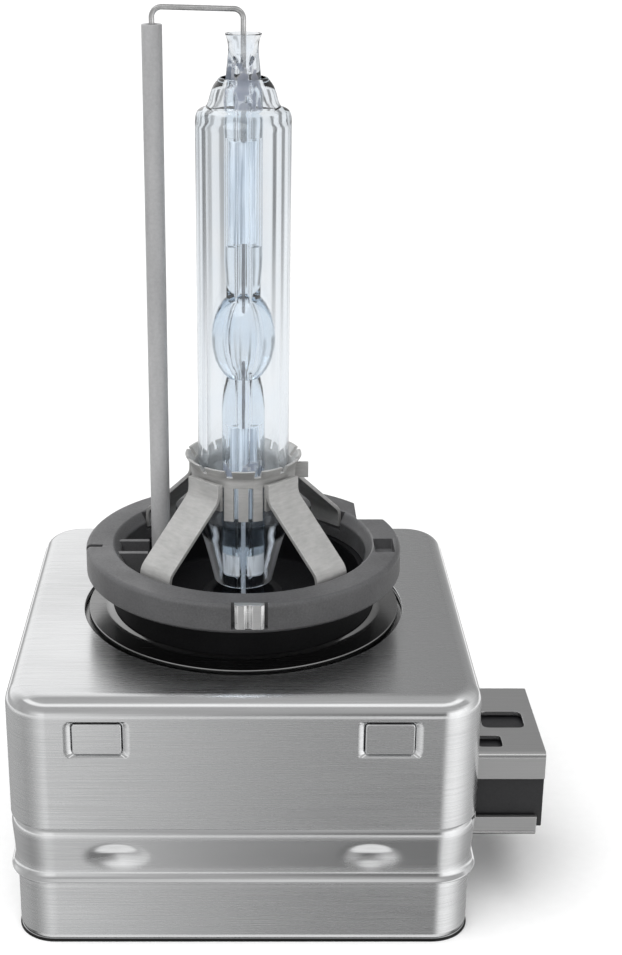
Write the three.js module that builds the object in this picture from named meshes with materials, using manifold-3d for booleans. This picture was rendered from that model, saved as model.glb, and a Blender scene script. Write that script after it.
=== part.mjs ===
// Gas-discharge headlight bulb: a quartz burner on a plastic reference ring, over a metal-cased
// igniter box with a shielded connector on its side.
// Millimetres. The origin is on the lamp axis at the underside of the box; +Z runs up the burner,
// +X points out of the connector and -Y is the front of the box.
import * as THREE from 'three';
import { mergeVertices } from 'three/addons/utils/BufferGeometryUtils.js';
import Module from 'manifold-3d';

const wasm = await Module();
wasm.setup();

// ---- driving dimensions ----------------------------------------------------------------------

const BOX_WIDTH = 44.1;            // along X
const BOX_DEPTH = 42.4;            // along Y
const BOX_HEIGHT = 26.0;
const BOX_CORNER = 4.1;            // corner radius in plan
const CORNER_STEPS = 5;
const CAN_SHEET = 0.5;             // upper can
const CAN_TOP_EDGE = 1.6;          // rolled edge round the top face
const CAN_HOLE_RADIUS = 16.05;
const SEAM_Z = 12.6;               // lower edge of the upper can

const LOWER_SHEET = 0.6;
const LOWER_RIM_Z = 12.3;
const LOWER_STEP = 0.45;           // how far the foot of the lower can is set in
const LOWER_BEAD_Z = 7.2;          // bead where the foot steps in
const LOWER_FOOT_EDGE = 0.9;

const LATCH_X = 13.35;             // two latches on the front and two on the back
const WINDOW_WIDTH = 6.1;
const WINDOW_BOTTOM = 20.2;
const WINDOW_TOP = 23.9;
const LATCH_WIDTH = 6.7;
const PAD_WIDTH = 4.5;
const DENT_X = 11.9;
const DENT_Z = 9.6;

const RING_RADIUS = 15.7;
const RING_BOTTOM = 30.0;
const RING_TOP = 32.95;            // the reference face
const TAB_X = 0.55;                // metal clip in the front of the ring
const TAB_BACK = -15.0;
const BOWL_RADIUS = 12.2;
const NECK_RADIUS = 13.1;
const FLANGE_RADIUS = 15.6;
const FLANGE_TOP = 26.3;
const BOWL_FLOOR = 26.0;

const GLASS_RADIUS = 4.45;         // outer bulb
const GLASS_BORE = 3.55;
const ARC_CENTRE = 54.1;           // middle of the discharge vessel
const ARC_RADIUS = 3.05;
const STEM_BORE = 0.55;
const ELECTRODE_GAP = 4.2;
const LOWER_FOIL = [35.5, 45.0];
const UPPER_FOIL = [63.2, 72.7];

const ROD_X = -8.25;               // ceramic tube and the wire inside it
const ROD_RADIUS = 0.94;
const ROD_BORE = 0.55;
const ROD_BOTTOM = 23.4;
const ROD_TOP = 83.1;
const WIRE_RADIUS = 0.25;
const WIRE_FOOT = 20.0;
const WIRE_TOP_OVER_ROD = 84.6;
const WIRE_TOP_OVER_STEM = 84.2;

const COLLAR_BORE = 4.75;
const FINGER_FOOT = 36.9;
const BAND_BOTTOM = 40.3;
const BAND_TOP = 41.3;
const CROWN_TOP = 42.2;
const STRAP_AZIMUTHS = [-133, -47, 45, 135];
const STRAP_NAMES = ['strap_front_left', 'strap_front_right', 'strap_back_right', 'strap_back_left'];
const STRAP_WIDTH = 4.0;
const STRAP_SHEET = 0.42;
const STRAP_LINE = [[5.52, 40.8], [5.52, 39.1], [12.25, 33.2], [12.25, 31.4]];

const PLUG_Y = [-14.6, -0.9];      // outside of the connector shield
const PLUG_Z = [7.8, 16.9];
const PLUG_END = 29.05;
const PLUG_SHEET = 0.45;
const PIN_Y = [-11.55, -9.0, -6.5, -3.95];
const PIN_Z = 12.35;
const PIN_SIDE = 0.8;
const PIN_TIP = 24.8;

const TRAY_X = 20.3;               // half sizes of the plastic tray that carries the electronics
const TRAY_Y = 19.4;
const TRAY_WALL = 1.2;
const TRAY_BOTTOM = 1.0;
const TRAY_TOP = 22.8;
const LID_TOP = 24.4;
const COIL_CHAMBERS = 4;
const BOBBIN = { bottom: 3.4, top: 19.0, bore: 3.0, hub: 3.6, flange: 7.2, flangeSheet: 0.8 };
const SPARK_GAP = { y: 13.4, z: 7.6, radius: 3.4 };
const FIT = 0.3;                   // clearance round a part that sits in a cut or turned pocket

// ---- geometry helpers ------------------------------------------------------------------------

function signedVolume(positions, index) {
  const corner = [0, 1, 2].map(() => new THREE.Vector3());
  let six = 0;
  for (let i = 0; i < index.length; i += 3) {
    corner.forEach((v, k) => v.fromArray(positions, 3 * index[i + k]));
    six += corner[0].dot(corner[1].cross(corner[2]));
  }
  return six / 6;
}

// A closed three.js surface as a solid, whichever way its faces were wound.
function solid(geometry) {
  const bare = geometry.clone();
  bare.deleteAttribute('normal');
  bare.deleteAttribute('uv');
  const merged = mergeVertices(bare, 1e-4);
  const source = merged.index.array;
  const faces = [];
  for (let i = 0; i < source.length; i += 3) {
    const [a, b, c] = [source[i], source[i + 1], source[i + 2]];
    if (a !== b && b !== c && c !== a) {
      faces.push(a, b, c);
    }
  }
  const positions = new Float32Array(merged.attributes.position.array);
  if (signedVolume(positions, faces) < 0) {
    faces.reverse();
  }
  return new wasm.Manifold(new wasm.Mesh({
    numProp: 3,
    vertProperties: positions,
    triVerts: new Uint32Array(faces),
  }));
}

function union(...parts) {
  return parts.reduce((sum, part) => sum.add(part));
}

// Closed surface through a list of rings that all have the same number of points.
function lofted(rings) {
  const count = rings[0].length;
  const points = rings.flat();
  const index = [];
  for (let r = 0; r + 1 < rings.length; r += 1) {
    for (let i = 0; i < count; i += 1) {
      const a = r * count + i;
      const b = r * count + (i + 1) % count;
      index.push(a, b, b + count, a, b + count, a + count);
    }
  }
  const ends = [rings[0], rings[rings.length - 1]];
  ends.forEach((ring, k) => {
    const centre = points.length;
    points.push(ring.reduce((sum, p) => sum.add(p), new THREE.Vector3()).divideScalar(count));
    const first = k * (rings.length - 1) * count;
    for (let i = 0; i < count; i += 1) {
      const edge = [first + (i + 1) % count, first + i];
      index.push(centre, edge[k], edge[1 - k]);
    }
  });
  const geometry = new THREE.BufferGeometry().setFromPoints(points);
  geometry.setIndex(index);
  return solid(geometry);
}

// Solid of revolution about Z from [radius, z] pairs; a profile off the axis closes on itself.
function turned(profile, segments = 32) {
  const points = profile.map(([r, z]) => new THREE.Vector2(r, z));
  if (profile[0][0] > 0) {
    points.push(points[0].clone());
  }
  return solid(new THREE.LatheGeometry(points, segments).rotateX(Math.PI / 2));
}

function block([x0, x1], [y0, y1], [z0, z1]) {
  const box = new THREE.BoxGeometry(x1 - x0, y1 - y0, z1 - z0);
  return solid(box.translate((x0 + x1) / 2, (y0 + y1) / 2, (z0 + z1) / 2));
}

// Flat outline of [a, b] pairs given a thickness.
function slab(outline, thickness) {
  const shape = new THREE.Shape(outline.map(([a, b]) => new THREE.Vector2(a, b)));
  return new THREE.ExtrudeGeometry(shape, { depth: thickness, bevelEnabled: false });
}

function discAt(x, y, radius, [z0, z1], segments = 24) {
  const disc = new THREE.CylinderGeometry(radius, radius, z1 - z0, segments);
  return solid(disc.rotateX(Math.PI / 2).translate(x, y, (z0 + z1) / 2));
}

function rodAlongX([x0, x1], y, z, radius, segments = 24) {
  const rod = new THREE.CylinderGeometry(radius, radius, x1 - x0, segments);
  return solid(rod.rotateZ(Math.PI / 2).translate((x0 + x1) / 2, y, z));
}

// Rounded rectangle in plan, as one ring of points.
function planRing(halfX, halfY, radius, z) {
  const ring = [];
  for (let corner = 0; corner < 4; corner += 1) {
    const sx = corner === 0 || corner === 3 ? 1 : -1;
    const sy = corner < 2 ? 1 : -1;
    for (let i = 0; i <= CORNER_STEPS; i += 1) {
      const angle = (corner + i / CORNER_STEPS) * Math.PI / 2;
      ring.push(new THREE.Vector3(
        sx * (halfX - radius) + radius * Math.cos(angle),
        sy * (halfY - radius) + radius * Math.sin(angle),
        z,
      ));
    }
  }
  return ring;
}

// Ring of the box outline, moved inward by an inset.
function boxRing([inset, z]) {
  return planRing(BOX_WIDTH / 2 - inset, BOX_DEPTH / 2 - inset, BOX_CORNER - inset, z);
}

function roundedBlock(halfX, halfY, radius, [z0, z1]) {
  return lofted([planRing(halfX, halfY, radius, z0), planRing(halfX, halfY, radius, z1)]);
}

function arc(centre, radius, fromDegrees, toDegrees, steps) {
  const points = [];
  for (let i = 0; i <= steps; i += 1) {
    const angle = THREE.MathUtils.degToRad(fromDegrees + (toDegrees - fromDegrees) * i / steps);
    points.push([centre[0] + radius * Math.cos(angle), centre[1] + radius * Math.sin(angle)]);
  }
  return points;
}

// Straight runs between points, with one section of a swept solid at each point.
class BentLine extends THREE.Curve {
  constructor(points) {
    super();
    this.points = points;
  }

  getPoint(t) {
    const at = t * (this.points.length - 1);
    const run = Math.min(Math.floor(at + 1e-9), this.points.length - 2);
    return this.points[run].clone().lerp(this.points[run + 1], at - run);
  }

  getPointAt(u) {
    return this.getPoint(u);
  }

  getTangentAt(u) {
    return this.getTangent(u);
  }
}

// Round wire along [x, z] points in the plane y = 0.
function wireInXZ(line, radius, sides = 10) {
  const path = new BentLine(line.map(([x, z]) => new THREE.Vector3(x, 0, z)));
  const section = new THREE.Shape(new THREE.EllipseCurve(0, 0, radius, radius).getPoints(sides).slice(0, -1));
  return solid(new THREE.ExtrudeGeometry(section, { steps: line.length - 1, extrudePath: path }));
}

// Sheet strip that follows [r, z] points at one azimuth, mitred at its bends.
function bentStrip(line, sheet, width, azimuthDegrees) {
  const sides = [1, -1].map((sign) => line.map(([r, z], i) => {
    const before = line[Math.max(i - 1, 0)];
    const after = line[Math.min(i + 1, line.length - 1)];
    const into = new THREE.Vector2(r - before[0], z - before[1]).normalize();
    const out = new THREE.Vector2(after[0] - r, after[1] - z).normalize();
    const along = into.clone().add(out).normalize();
    const reference = into.length() > 0 ? into : out;
    const half = sign * sheet / 2 / along.dot(reference);
    return [r - along.y * half, z + along.x * half];
  }));
  const outline = sides[0].concat(sides[1].reverse());
  const strip = slab(outline, width).translate(0, 0, -width / 2).rotateX(Math.PI / 2);
  return solid(strip.rotateZ(THREE.MathUtils.degToRad(azimuthDegrees)));
}

// Flat plate standing at a distance from the lamp axis, square to one azimuth.
function standingPlate([r0, r1], width, [z0, z1], azimuthDegrees) {
  const plate = new THREE.BoxGeometry(r1 - r0, width, z1 - z0);
  plate.translate((r0 + r1) / 2, 0, (z0 + z1) / 2);
  return solid(plate.rotateZ(THREE.MathUtils.degToRad(azimuthDegrees)));
}

// ---- metal case ------------------------------------------------------------------------------

function upperCan() {
  const bend = BOX_HEIGHT - CAN_TOP_EDGE;
  const outside = arc([CAN_TOP_EDGE, bend], CAN_TOP_EDGE, 180, 90, 5);
  const inside = arc([CAN_TOP_EDGE, bend], CAN_TOP_EDGE - CAN_SHEET, 90, 180, 5);
  const profile = [...inside, [CAN_SHEET, SEAM_Z], [0, SEAM_Z], ...outside];
  let can = lofted(profile.map(boxRing));
  can = can.subtract(discAt(0, 0, CAN_HOLE_RADIUS, [BOX_HEIGHT - 3, BOX_HEIGHT + 1], 64));
  for (const x of [-LATCH_X, LATCH_X]) {
    const across = [x - WINDOW_WIDTH / 2, x + WINDOW_WIDTH / 2];
    const through = [-BOX_DEPTH / 2 - 1, BOX_DEPTH / 2 + 1];
    can = can.subtract(block(across, through, [WINDOW_BOTTOM, WINDOW_TOP]));
  }
  return can.subtract(connectorOpening());
}

// Cut for the connector, shared by both cans.
function connectorOpening() {
  return block(
    [BOX_WIDTH / 2 - 2, BOX_WIDTH / 2 + 1],
    [PLUG_Y[0] - FIT, PLUG_Y[1] + FIT],
    [PLUG_Z[0] - FIT, PLUG_Z[1] + FIT],
  );
}

function lowerCan() {
  const foot = LOWER_STEP + LOWER_FOOT_EDGE;
  const bottom = arc([foot, LOWER_FOOT_EDGE], LOWER_FOOT_EDGE, 180, 270, 4).reverse();
  const outside = [
    [0.2, LOWER_RIM_Z],
    [0, LOWER_RIM_Z - 0.25],
    [0, LOWER_BEAD_Z + 0.45],
    [-0.1, LOWER_BEAD_Z + 0.2],
    [-0.1, LOWER_BEAD_Z - 0.1],
    [LOWER_STEP, LOWER_BEAD_Z - 0.55],
  ];
  const inside = [
    [foot + 0.2, LOWER_SHEET],
    [LOWER_STEP + LOWER_SHEET, LOWER_FOOT_EDGE + 0.3],
    [LOWER_STEP + LOWER_SHEET, LOWER_BEAD_Z - 0.6],
    [LOWER_SHEET, LOWER_BEAD_Z],
    [LOWER_SHEET, LOWER_RIM_Z],
  ];
  let can = lofted([...inside, ...outside, ...bottom.reverse()].map(boxRing));
  for (const side of [-1, 1]) {
    for (const x of [-LATCH_X, LATCH_X]) {
      can = can.add(latchTongue(x, side));
    }
    for (const x of [-DENT_X, DENT_X]) {
      can = can.subtract(crimpDent(x, side));
    }
  }
  return can.subtract(connectorOpening());
}

// Tongue of the lower can that stands inside the upper can and fills its window with a pad.
function latchTongue(x, side) {
  const wall = BOX_DEPTH / 2 - LOWER_SHEET;
  const front = BOX_DEPTH / 2 - CAN_SHEET - FIT;
  const across = [x - LATCH_WIDTH / 2, x + LATCH_WIDTH / 2];
  const pieces = [
    [across, [wall - 0.6, wall + 0.2], [LOWER_BEAD_Z + 0.6, LOWER_RIM_Z - 0.05]],
    [across, [wall - 0.6, front], [LOWER_RIM_Z - 0.3, WINDOW_TOP + 0.6]],
    [
      [x - PAD_WIDTH / 2, x + PAD_WIDTH / 2],
      [front - 0.1, BOX_DEPTH / 2 - 0.2],
      [WINDOW_BOTTOM + 0.32, WINDOW_TOP - 0.32],
    ],
  ];
  return union(...pieces.map(([xs, ys, zs]) => {
    const placed = side > 0 ? ys : [-ys[1], -ys[0]];
    return block(xs, placed, zs);
  }));
}

// Lens-shaped dent pressed into the lower can.
function crimpDent(x, side) {
  const lens = new THREE.SphereGeometry(1, 16, 10);
  lens.scale(2.95, 0.7, 1.4);
  return solid(lens.translate(x, side * (BOX_DEPTH / 2 + 0.32), DENT_Z));
}

// ---- plastic base ----------------------------------------------------------------------------

function referenceRing() {
  const edge = 0.3;
  let ring = turned([
    [BOWL_RADIUS, RING_BOTTOM],
    [RING_RADIUS - edge, RING_BOTTOM],
    [RING_RADIUS, RING_BOTTOM + edge],
    [RING_RADIUS, RING_TOP - edge],
    [RING_RADIUS - edge, RING_TOP],
    [BOWL_RADIUS + 0.75, RING_TOP],
    [BOWL_RADIUS, RING_TOP - 0.95],
  ], 64);
  for (const y of [1.1, -2.0]) {
    ring = ring.add(block([-BOWL_RADIUS - 0.6, ROD_X - ROD_RADIUS - FIT], [y - 0.3, y + 0.3], [30.4, 32.4]));
  }
  const above = RING_TOP + 1;
  ring = ring.subtract(block([11.7, 17], [5.4, 17], [RING_BOTTOM - 1, above]));
  ring = ring.subtract(block([13.0, 14.95], [-3.2, 0.2], [RING_TOP - 1.1, above]));
  ring = ring.subtract(block([-17, -14.0], [-1.9, -1.3], [RING_TOP - 1.0, above]));
  ring = ring.subtract(block([TAB_X - 1.7, TAB_X + 1.7], [-17, TAB_BACK], [RING_BOTTOM + 0.5, above]));
  for (const azimuth of STRAP_AZIMUTHS) {
    const pocket = [BOWL_RADIUS - 1, STRAP_LINE[3][0] + STRAP_SHEET / 2 + FIT];
    ring = ring.subtract(standingPlate(pocket, STRAP_WIDTH + 2 * FIT, [STRAP_LINE[3][1] - FIT, above], azimuth));
  }
  return ring;
}

// Small metal clip let into the front of the ring, with an upright groove down its middle.
function ringTab() {
  const half = 1.42;
  const face = -15.78;
  const outline = [
    [-half, TAB_BACK], [-half, face + 0.2], [-half + 0.3, face], [-0.45, face], [-0.3, face + 0.14],
    [0.1, face + 0.14], [0.25, face], [half - 0.3, face], [half, face + 0.2], [half, TAB_BACK],
  ];
  const clip = slab(outline.map(([x, y]) => [x + TAB_X, y]), RING_TOP - RING_BOTTOM - 0.5);
  return solid(clip.translate(0, 0, RING_BOTTOM + 0.5));
}

function baseNeck() {
  let neck = turned([
    [4.4, 22.0],
    [5.7, 22.0],
    [5.7, LID_TOP],
    [17.6, LID_TOP],
    [17.6, LID_TOP + 0.9],
    [FLANGE_RADIUS, LID_TOP + 0.9],
    [FLANGE_RADIUS, FLANGE_TOP],
    [NECK_RADIUS, FLANGE_TOP],
    [NECK_RADIUS, RING_BOTTOM],
    [NECK_RADIUS - 1.5, RING_BOTTOM],
    [NECK_RADIUS - 1.5, BOWL_FLOOR],
    [4.4, BOWL_FLOOR],
  ], 40);
  neck = neck.subtract(discAt(ROD_X, 0, ROD_RADIUS + FIT, [LID_TOP - 1, BOWL_FLOOR + 1]));
  return neck;
}

// Cup that holds the foot of the burner and insulates the high-voltage lead.
function insulatorCup() {
  return turned([
    [0.7, 21.3],
    [4.1, 21.3],
    [4.1, 27.4],
    [3.1, 27.4],
    [3.1, 25.0],
    [0.7, 25.0],
  ], 32);
}

// ---- burner ----------------------------------------------------------------------------------

function outerBulb() {
  return turned([
    [2.9, 28.8],
    [3.45, 31.2],
    [4.0, 33.3],
    [GLASS_RADIUS, 34.8],
    [GLASS_RADIUS, 74.9],
    [4.2, 75.4],
    [3.55, 75.75],
    [3.2, 76.3],
    [3.0, 77.1],
    [2.75, 77.7],
    [2.2, 78.4],
    [2.05, 78.4],
    [2.1, 77.4],
    [2.45, 76.3],
    [3.1, 75.1],
    [GLASS_BORE, 74.2],
    [GLASS_BORE, 35.2],
    [3.2, 33.8],
    [2.4, 30.0],
    [2.35, 28.8],
  ], 30);
}

// Discharge vessel with a stem at each end; the foils lie in flat pockets in the stems.
function arcTube() {
  const vessel = arc([0, ARC_CENTRE], 1, -58, 58, 8)
    .map(([a, z]) => [a * ARC_RADIUS, ARC_CENTRE + (z - ARC_CENTRE) * 4.6]);
  const chamber = arc([0, ARC_CENTRE], 1, 64, -64, 6)
    .map(([a, z]) => [a * 1.35, ARC_CENTRE + (z - ARC_CENTRE) * 3.6]);
  let tube = turned([
    [STEM_BORE, 25.6],
    [2.1, 25.6],
    [2.1, 47.0],
    [1.95, 48.6],
    ...vessel,
    [1.65, 59.6],
    [1.8, 61.2],
    [1.8, 76.6],
    [1.6, 78.6],
    [1.36, 80.9],
    [1.45, 81.7],
    [1.7, 82.3],
    [1.4, 82.3],
    [1.05, 81.4],
    [0.9, 80.4],
    [STEM_BORE, 79.4],
    ...chamber,
  ], 24);
  for (const [z0, z1] of [LOWER_FOIL, UPPER_FOIL]) {
    tube = tube.subtract(block([-1.15, 1.15], [-0.36, 0.36], [z0 - FIT, z1 + FIT]));
  }
  return tube;
}

function foil([z0, z1]) {
  return block([-0.85, 0.85], [-0.06, 0.06], [z0, z1]);
}

// Tungsten rod from a foil to the arc, with a rounded tip.
function electrode(foot, tip) {
  const up = Math.sign(tip - foot);
  const shaft = 0.16;
  return turned([[0, foot], [shaft, foot], [shaft, tip - up * 0.12], [0.1, tip - up * 0.02], [0, tip]], 10);
}

function lowerLead() {
  return wireInXZ([[0, 21.0], [0, LOWER_FOIL[0]]], WIRE_RADIUS);
}

// One wire from the upper foil out of the stem, over and down through the ceramic tube.
function returnWire() {
  const bend = 0.9;
  const overRod = arc([ROD_X + bend, WIRE_TOP_OVER_ROD - bend], bend, 93, 180, 5);
  const overStem = arc([-bend, WIRE_TOP_OVER_STEM - bend], bend, 0, 87, 5);
  return wireInXZ([[0, UPPER_FOIL[1]], ...overStem, ...overRod, [ROD_X, WIRE_FOOT]], WIRE_RADIUS);
}

function ceramicTube() {
  const tube = turned([
    [ROD_BORE, ROD_BOTTOM],
    [ROD_RADIUS, ROD_BOTTOM],
    [ROD_RADIUS, ROD_TOP],
    [ROD_BORE, ROD_TOP],
  ], 24);
  return tube.translate(ROD_X, 0, 0);
}

// ---- clamp that carries the burner -----------------------------------------------------------

function clampCollar() {
  let collar = turned([
    [COLLAR_BORE, BAND_BOTTOM],
    [COLLAR_BORE + 0.4, BAND_BOTTOM],
    [COLLAR_BORE + 0.4, BAND_TOP - 0.1],
    [COLLAR_BORE + 1.0, CROWN_TOP],
    [COLLAR_BORE + 0.65, CROWN_TOP],
    [COLLAR_BORE, BAND_TOP],
  ], 36);
  for (let i = 0; i < 12; i += 1) {
    collar = collar.subtract(standingPlate([3, 8], 0.7, [BAND_TOP + 0.1, CROWN_TOP + 1], 15 + 30 * i));
  }
  const plate = [COLLAR_BORE + 0.03, COLLAR_BORE + 0.38];
  for (const azimuth of STRAP_AZIMUTHS) {
    collar = collar.add(standingPlate(plate, 3.5, [37.9, BAND_BOTTOM + 0.3], azimuth));
  }
  for (const side of [0, 90, 180, 270]) {
    for (const turn of [-16, 0, 16]) {
      collar = collar.add(standingPlate(plate, 0.95, [FINGER_FOOT, BAND_BOTTOM + 0.3], side + turn));
    }
  }
  return collar.add(block([COLLAR_BORE + 0.2, 6.4], [-0.25, 0.25], [39.7, 41.2]));
}

// ---- connector -------------------------------------------------------------------------------

function connectorShield() {
  const [y0, y1] = PLUG_Y;
  const [z0, z1] = PLUG_Z;
  const start = BOX_WIDTH / 2 - 1.0;
  const end = PLUG_END - 0.07;
  let shield = block([start, end], PLUG_Y, PLUG_Z).subtract(block(
    [start - 1, end + 1],
    [y0 + PLUG_SHEET, y1 - PLUG_SHEET],
    [z0 + PLUG_SHEET, z1 - PLUG_SHEET],
  ));
  const frontWindow = block([22.5, end + 1], [y0 - 1, y0 + 1.5], [9.9, 14.1]);
  const shortLip = block([28.45, end + 1], [y0 - 1, y1 + 1], [z0 - 1, 9.95]);
  const topSlot = block([23.55, 27.7], [-9.5, -6.25], [z1 - 1, z1 + 1]);
  const smallSlot = block([22.7, 25.0], [-13.25, -11.1], [z1 - 1, z1 + 1]);
  for (const cut of [frontWindow, shortLip, topSlot, smallSlot]) {
    shield = shield.subtract(cut);
  }
  return shield;
}

function connectorHousing() {
  const gap = PLUG_SHEET + 0.2;
  const inner = TRAY_X + 0.15;
  const outside = block(
    [inner, PLUG_END],
    [PLUG_Y[0] + gap, PLUG_Y[1] - gap],
    [PLUG_Z[0] + gap, PLUG_Z[1] - gap],
  );
  const cavity = block([21.4, PLUG_END + 1], [-12.8, -2.7], [9.7, 15.0]);
  let housing = outside.subtract(cavity);
  for (const y of PIN_Y) {
    housing = housing.subtract(pinBore(y));
  }
  return housing;
}

function pinBore(y) {
  const half = PIN_SIDE / 2 + 0.15;
  return block([TRAY_X - 2, 22.5], [y - half, y + half], [PIN_Z - half, PIN_Z + half]);
}

// Square pin with a pointed tip.
function connectorPin(y) {
  const half = PIN_SIDE / 2;
  const square = (x, reach) => [[1, 1], [1, -1], [-1, -1], [-1, 1]]
    .map(([a, b]) => new THREE.Vector3(x, y + a * reach, PIN_Z + b * reach));
  return lofted([square(15.6, half), square(PIN_TIP - 0.7, half), square(PIN_TIP, half * 0.45)]);
}

// ---- igniter ---------------------------------------------------------------------------------

function igniterTray() {
  const corner = 2.6;
  const floor = TRAY_BOTTOM + TRAY_WALL;
  let tray = roundedBlock(TRAY_X, TRAY_Y, corner, [TRAY_BOTTOM, TRAY_TOP]);
  const inside = roundedBlock(TRAY_X - TRAY_WALL, TRAY_Y - TRAY_WALL, corner - TRAY_WALL, [floor, TRAY_TOP + 1]);
  tray = tray.subtract(inside);
  const well = turned([[9.2, floor - 0.4], [10.2, floor - 0.4], [10.2, 18.6], [9.2, 18.6]], 40);
  tray = tray.add(well);
  for (const side of [-1, 1]) {
    const across = side > 0 ? [9.9, TRAY_X - 0.6] : [-TRAY_X + 0.6, -9.9];
    tray = tray.add(block(across, [-0.5, 0.5], [floor - 0.4, 10.0]));
  }
  for (const y of PIN_Y) {
    tray = tray.subtract(pinBore(y));
  }
  return tray;
}

function trayLid() {
  let lid = roundedBlock(TRAY_X, TRAY_Y, 2.6, [TRAY_TOP, LID_TOP]);
  lid = lid.subtract(discAt(0, 0, 5.7 + FIT, [TRAY_TOP - 1, LID_TOP + 1], 40));
  return lid.subtract(discAt(ROD_X, 0, ROD_RADIUS + FIT, [TRAY_TOP - 1, LID_TOP + 1]));
}

function bobbinFlangeZ(i) {
  const pitch = (BOBBIN.top - BOBBIN.bottom - BOBBIN.flangeSheet) / COIL_CHAMBERS;
  return BOBBIN.bottom + pitch * i;
}

function bobbin() {
  const profile = [[BOBBIN.bore, BOBBIN.bottom]];
  for (let i = 0; i <= COIL_CHAMBERS; i += 1) {
    const z = bobbinFlangeZ(i);
    profile.push([i > 0 ? BOBBIN.hub : BOBBIN.flange, z]);
    if (i > 0) {
      profile.push([BOBBIN.flange, z]);
    }
    profile.push([BOBBIN.flange, z + BOBBIN.flangeSheet]);
    if (i < COIL_CHAMBERS) {
      profile.push([BOBBIN.hub, z + BOBBIN.flangeSheet]);
    }
  }
  profile.push([BOBBIN.bore, BOBBIN.top]);
  return turned(profile, 20);
}

function secondaryCoil(chamber) {
  const bottom = bobbinFlangeZ(chamber) + BOBBIN.flangeSheet + 0.2;
  const top = bobbinFlangeZ(chamber + 1) - 0.2;
  const r0 = BOBBIN.hub + FIT;
  const r1 = BOBBIN.flange - 0.4;
  return turned([[r0, bottom], [r1, bottom], [r1, top], [r0, top]], 20);
}

function primaryFoil() {
  const band = turned([[7.75, 5.2], [8.1, 5.2], [8.1, 17.2], [7.75, 17.2]], 28);
  return band.subtract(block([5, 9], [-1.2, 1.2], [4, 18]));
}

function coreRod() {
  return turned([[0, 3.0], [2.6, 3.0], [2.6, 19.6], [0, 19.6]], 20);
}

function highVoltageContact() {
  return turned([[0, 20.6], [2.4, 20.6], [2.4, 21.0], [0, 21.0]], 20);
}

// Stamped strips: a flat run on plan with a leg down at each end that needs one.
function returnBusbar() {
  const run = [
    [-9.2, 1.2], [-9.2, -14.6], [16.9, -14.6], [16.9, -3.1], [14.9, -3.1], [14.9, -12.6], [-7.3, -12.6], [-7.3, 1.2],
  ];
  const flat = solid(slab(run, 0.4).translate(0, 0, WIRE_FOOT - 0.4));
  const leg = block([16.1, 16.6], [-4.5, -3.4], [PIN_Z + PIN_SIDE / 2, WIRE_FOOT - 0.2]);
  return flat.add(leg);
}

function supplyBusbar() {
  const run = [
    [16.6, -10.9], [18.1, -10.9], [18.1, -17.6], [-16.2, -17.6], [-16.2, -16.0], [16.6, -16.0],
  ];
  const flat = solid(slab(run, 0.4).translate(0, 0, 15.2));
  const pinLeg = block([17.2, 17.7], [-12.1, -11.0], [PIN_Z + PIN_SIDE / 2, 15.4]);
  const capacitorLeg = block([-15.8, -14.6], [-17.1, -16.6], [14.0, 15.4]);
  return union(flat, pinLeg, capacitorLeg);
}

function sparkBusbar() {
  const flat = block([-18.3, -16.9], [-13.0, 14.0], [14.0, 14.4]);
  return flat.add(block([-18.3, -17.0], [13.1, 13.6], [SPARK_GAP.z + SPARK_GAP.radius, 14.2]));
}

function sparkGapBody() {
  return rodAlongX([-17.0, -12.0], SPARK_GAP.y, SPARK_GAP.z, SPARK_GAP.radius - 0.3);
}

function sparkGapCap(ends) {
  return rodAlongX(ends, SPARK_GAP.y, SPARK_GAP.z, SPARK_GAP.radius);
}

// ---- assembly --------------------------------------------------------------------------------

const METAL = { color: 0xb9bcc0, metalness: 0.9, roughness: 0.35 };
const COPPER = { color: 0xb8693a, metalness: 0.9, roughness: 0.35 };
const BRASS = { color: 0xc9ad62, metalness: 0.9, roughness: 0.35 };
const DARK_METAL = { color: 0x6d6f73, metalness: 0.8, roughness: 0.4 };
const BLACK = { color: 0x26272a, metalness: 0.0, roughness: 0.55 };
const GREY = { color: 0x3c3e42, metalness: 0.0, roughness: 0.6 };
const CERAMIC = { color: 0xa9a8a4, metalness: 0.0, roughness: 0.6 };
const WHITE_CERAMIC = { color: 0xe8e4da, metalness: 0.0, roughness: 0.5 };
const CREAM = { color: 0xcdbb8f, metalness: 0.0, roughness: 0.6 };
const FERRITE = { color: 0x35332f, metalness: 0.1, roughness: 0.6 };
const GLASS = { color: 0xcfe0ea, metalness: 0.0, roughness: 0.05, transparent: true, opacity: 0.35 };

function mesh(name, body, look) {
  const data = body.getMesh();
  const geometry = new THREE.BufferGeometry();
  geometry.setAttribute('position', new THREE.BufferAttribute(new Float32Array(data.vertProperties), 3));
  geometry.setIndex(new THREE.BufferAttribute(new Uint32Array(data.triVerts), 1));
  const faceted = geometry.toNonIndexed();
  faceted.computeVertexNormals();
  const made = new THREE.Mesh(faceted, new THREE.MeshStandardMaterial(look));
  made.name = name;
  return made;
}

const group = new THREE.Group();
group.name = 'headlight_bulb';

group.add(mesh('upper_can', upperCan(), METAL));
group.add(mesh('lower_can', lowerCan(), METAL));
group.add(mesh('reference_ring', referenceRing(), GREY));
group.add(mesh('base_neck', baseNeck(), BLACK));
group.add(mesh('insulator_cup', insulatorCup(), BLACK));
group.add(mesh('ring_tab', ringTab(), METAL));

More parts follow.
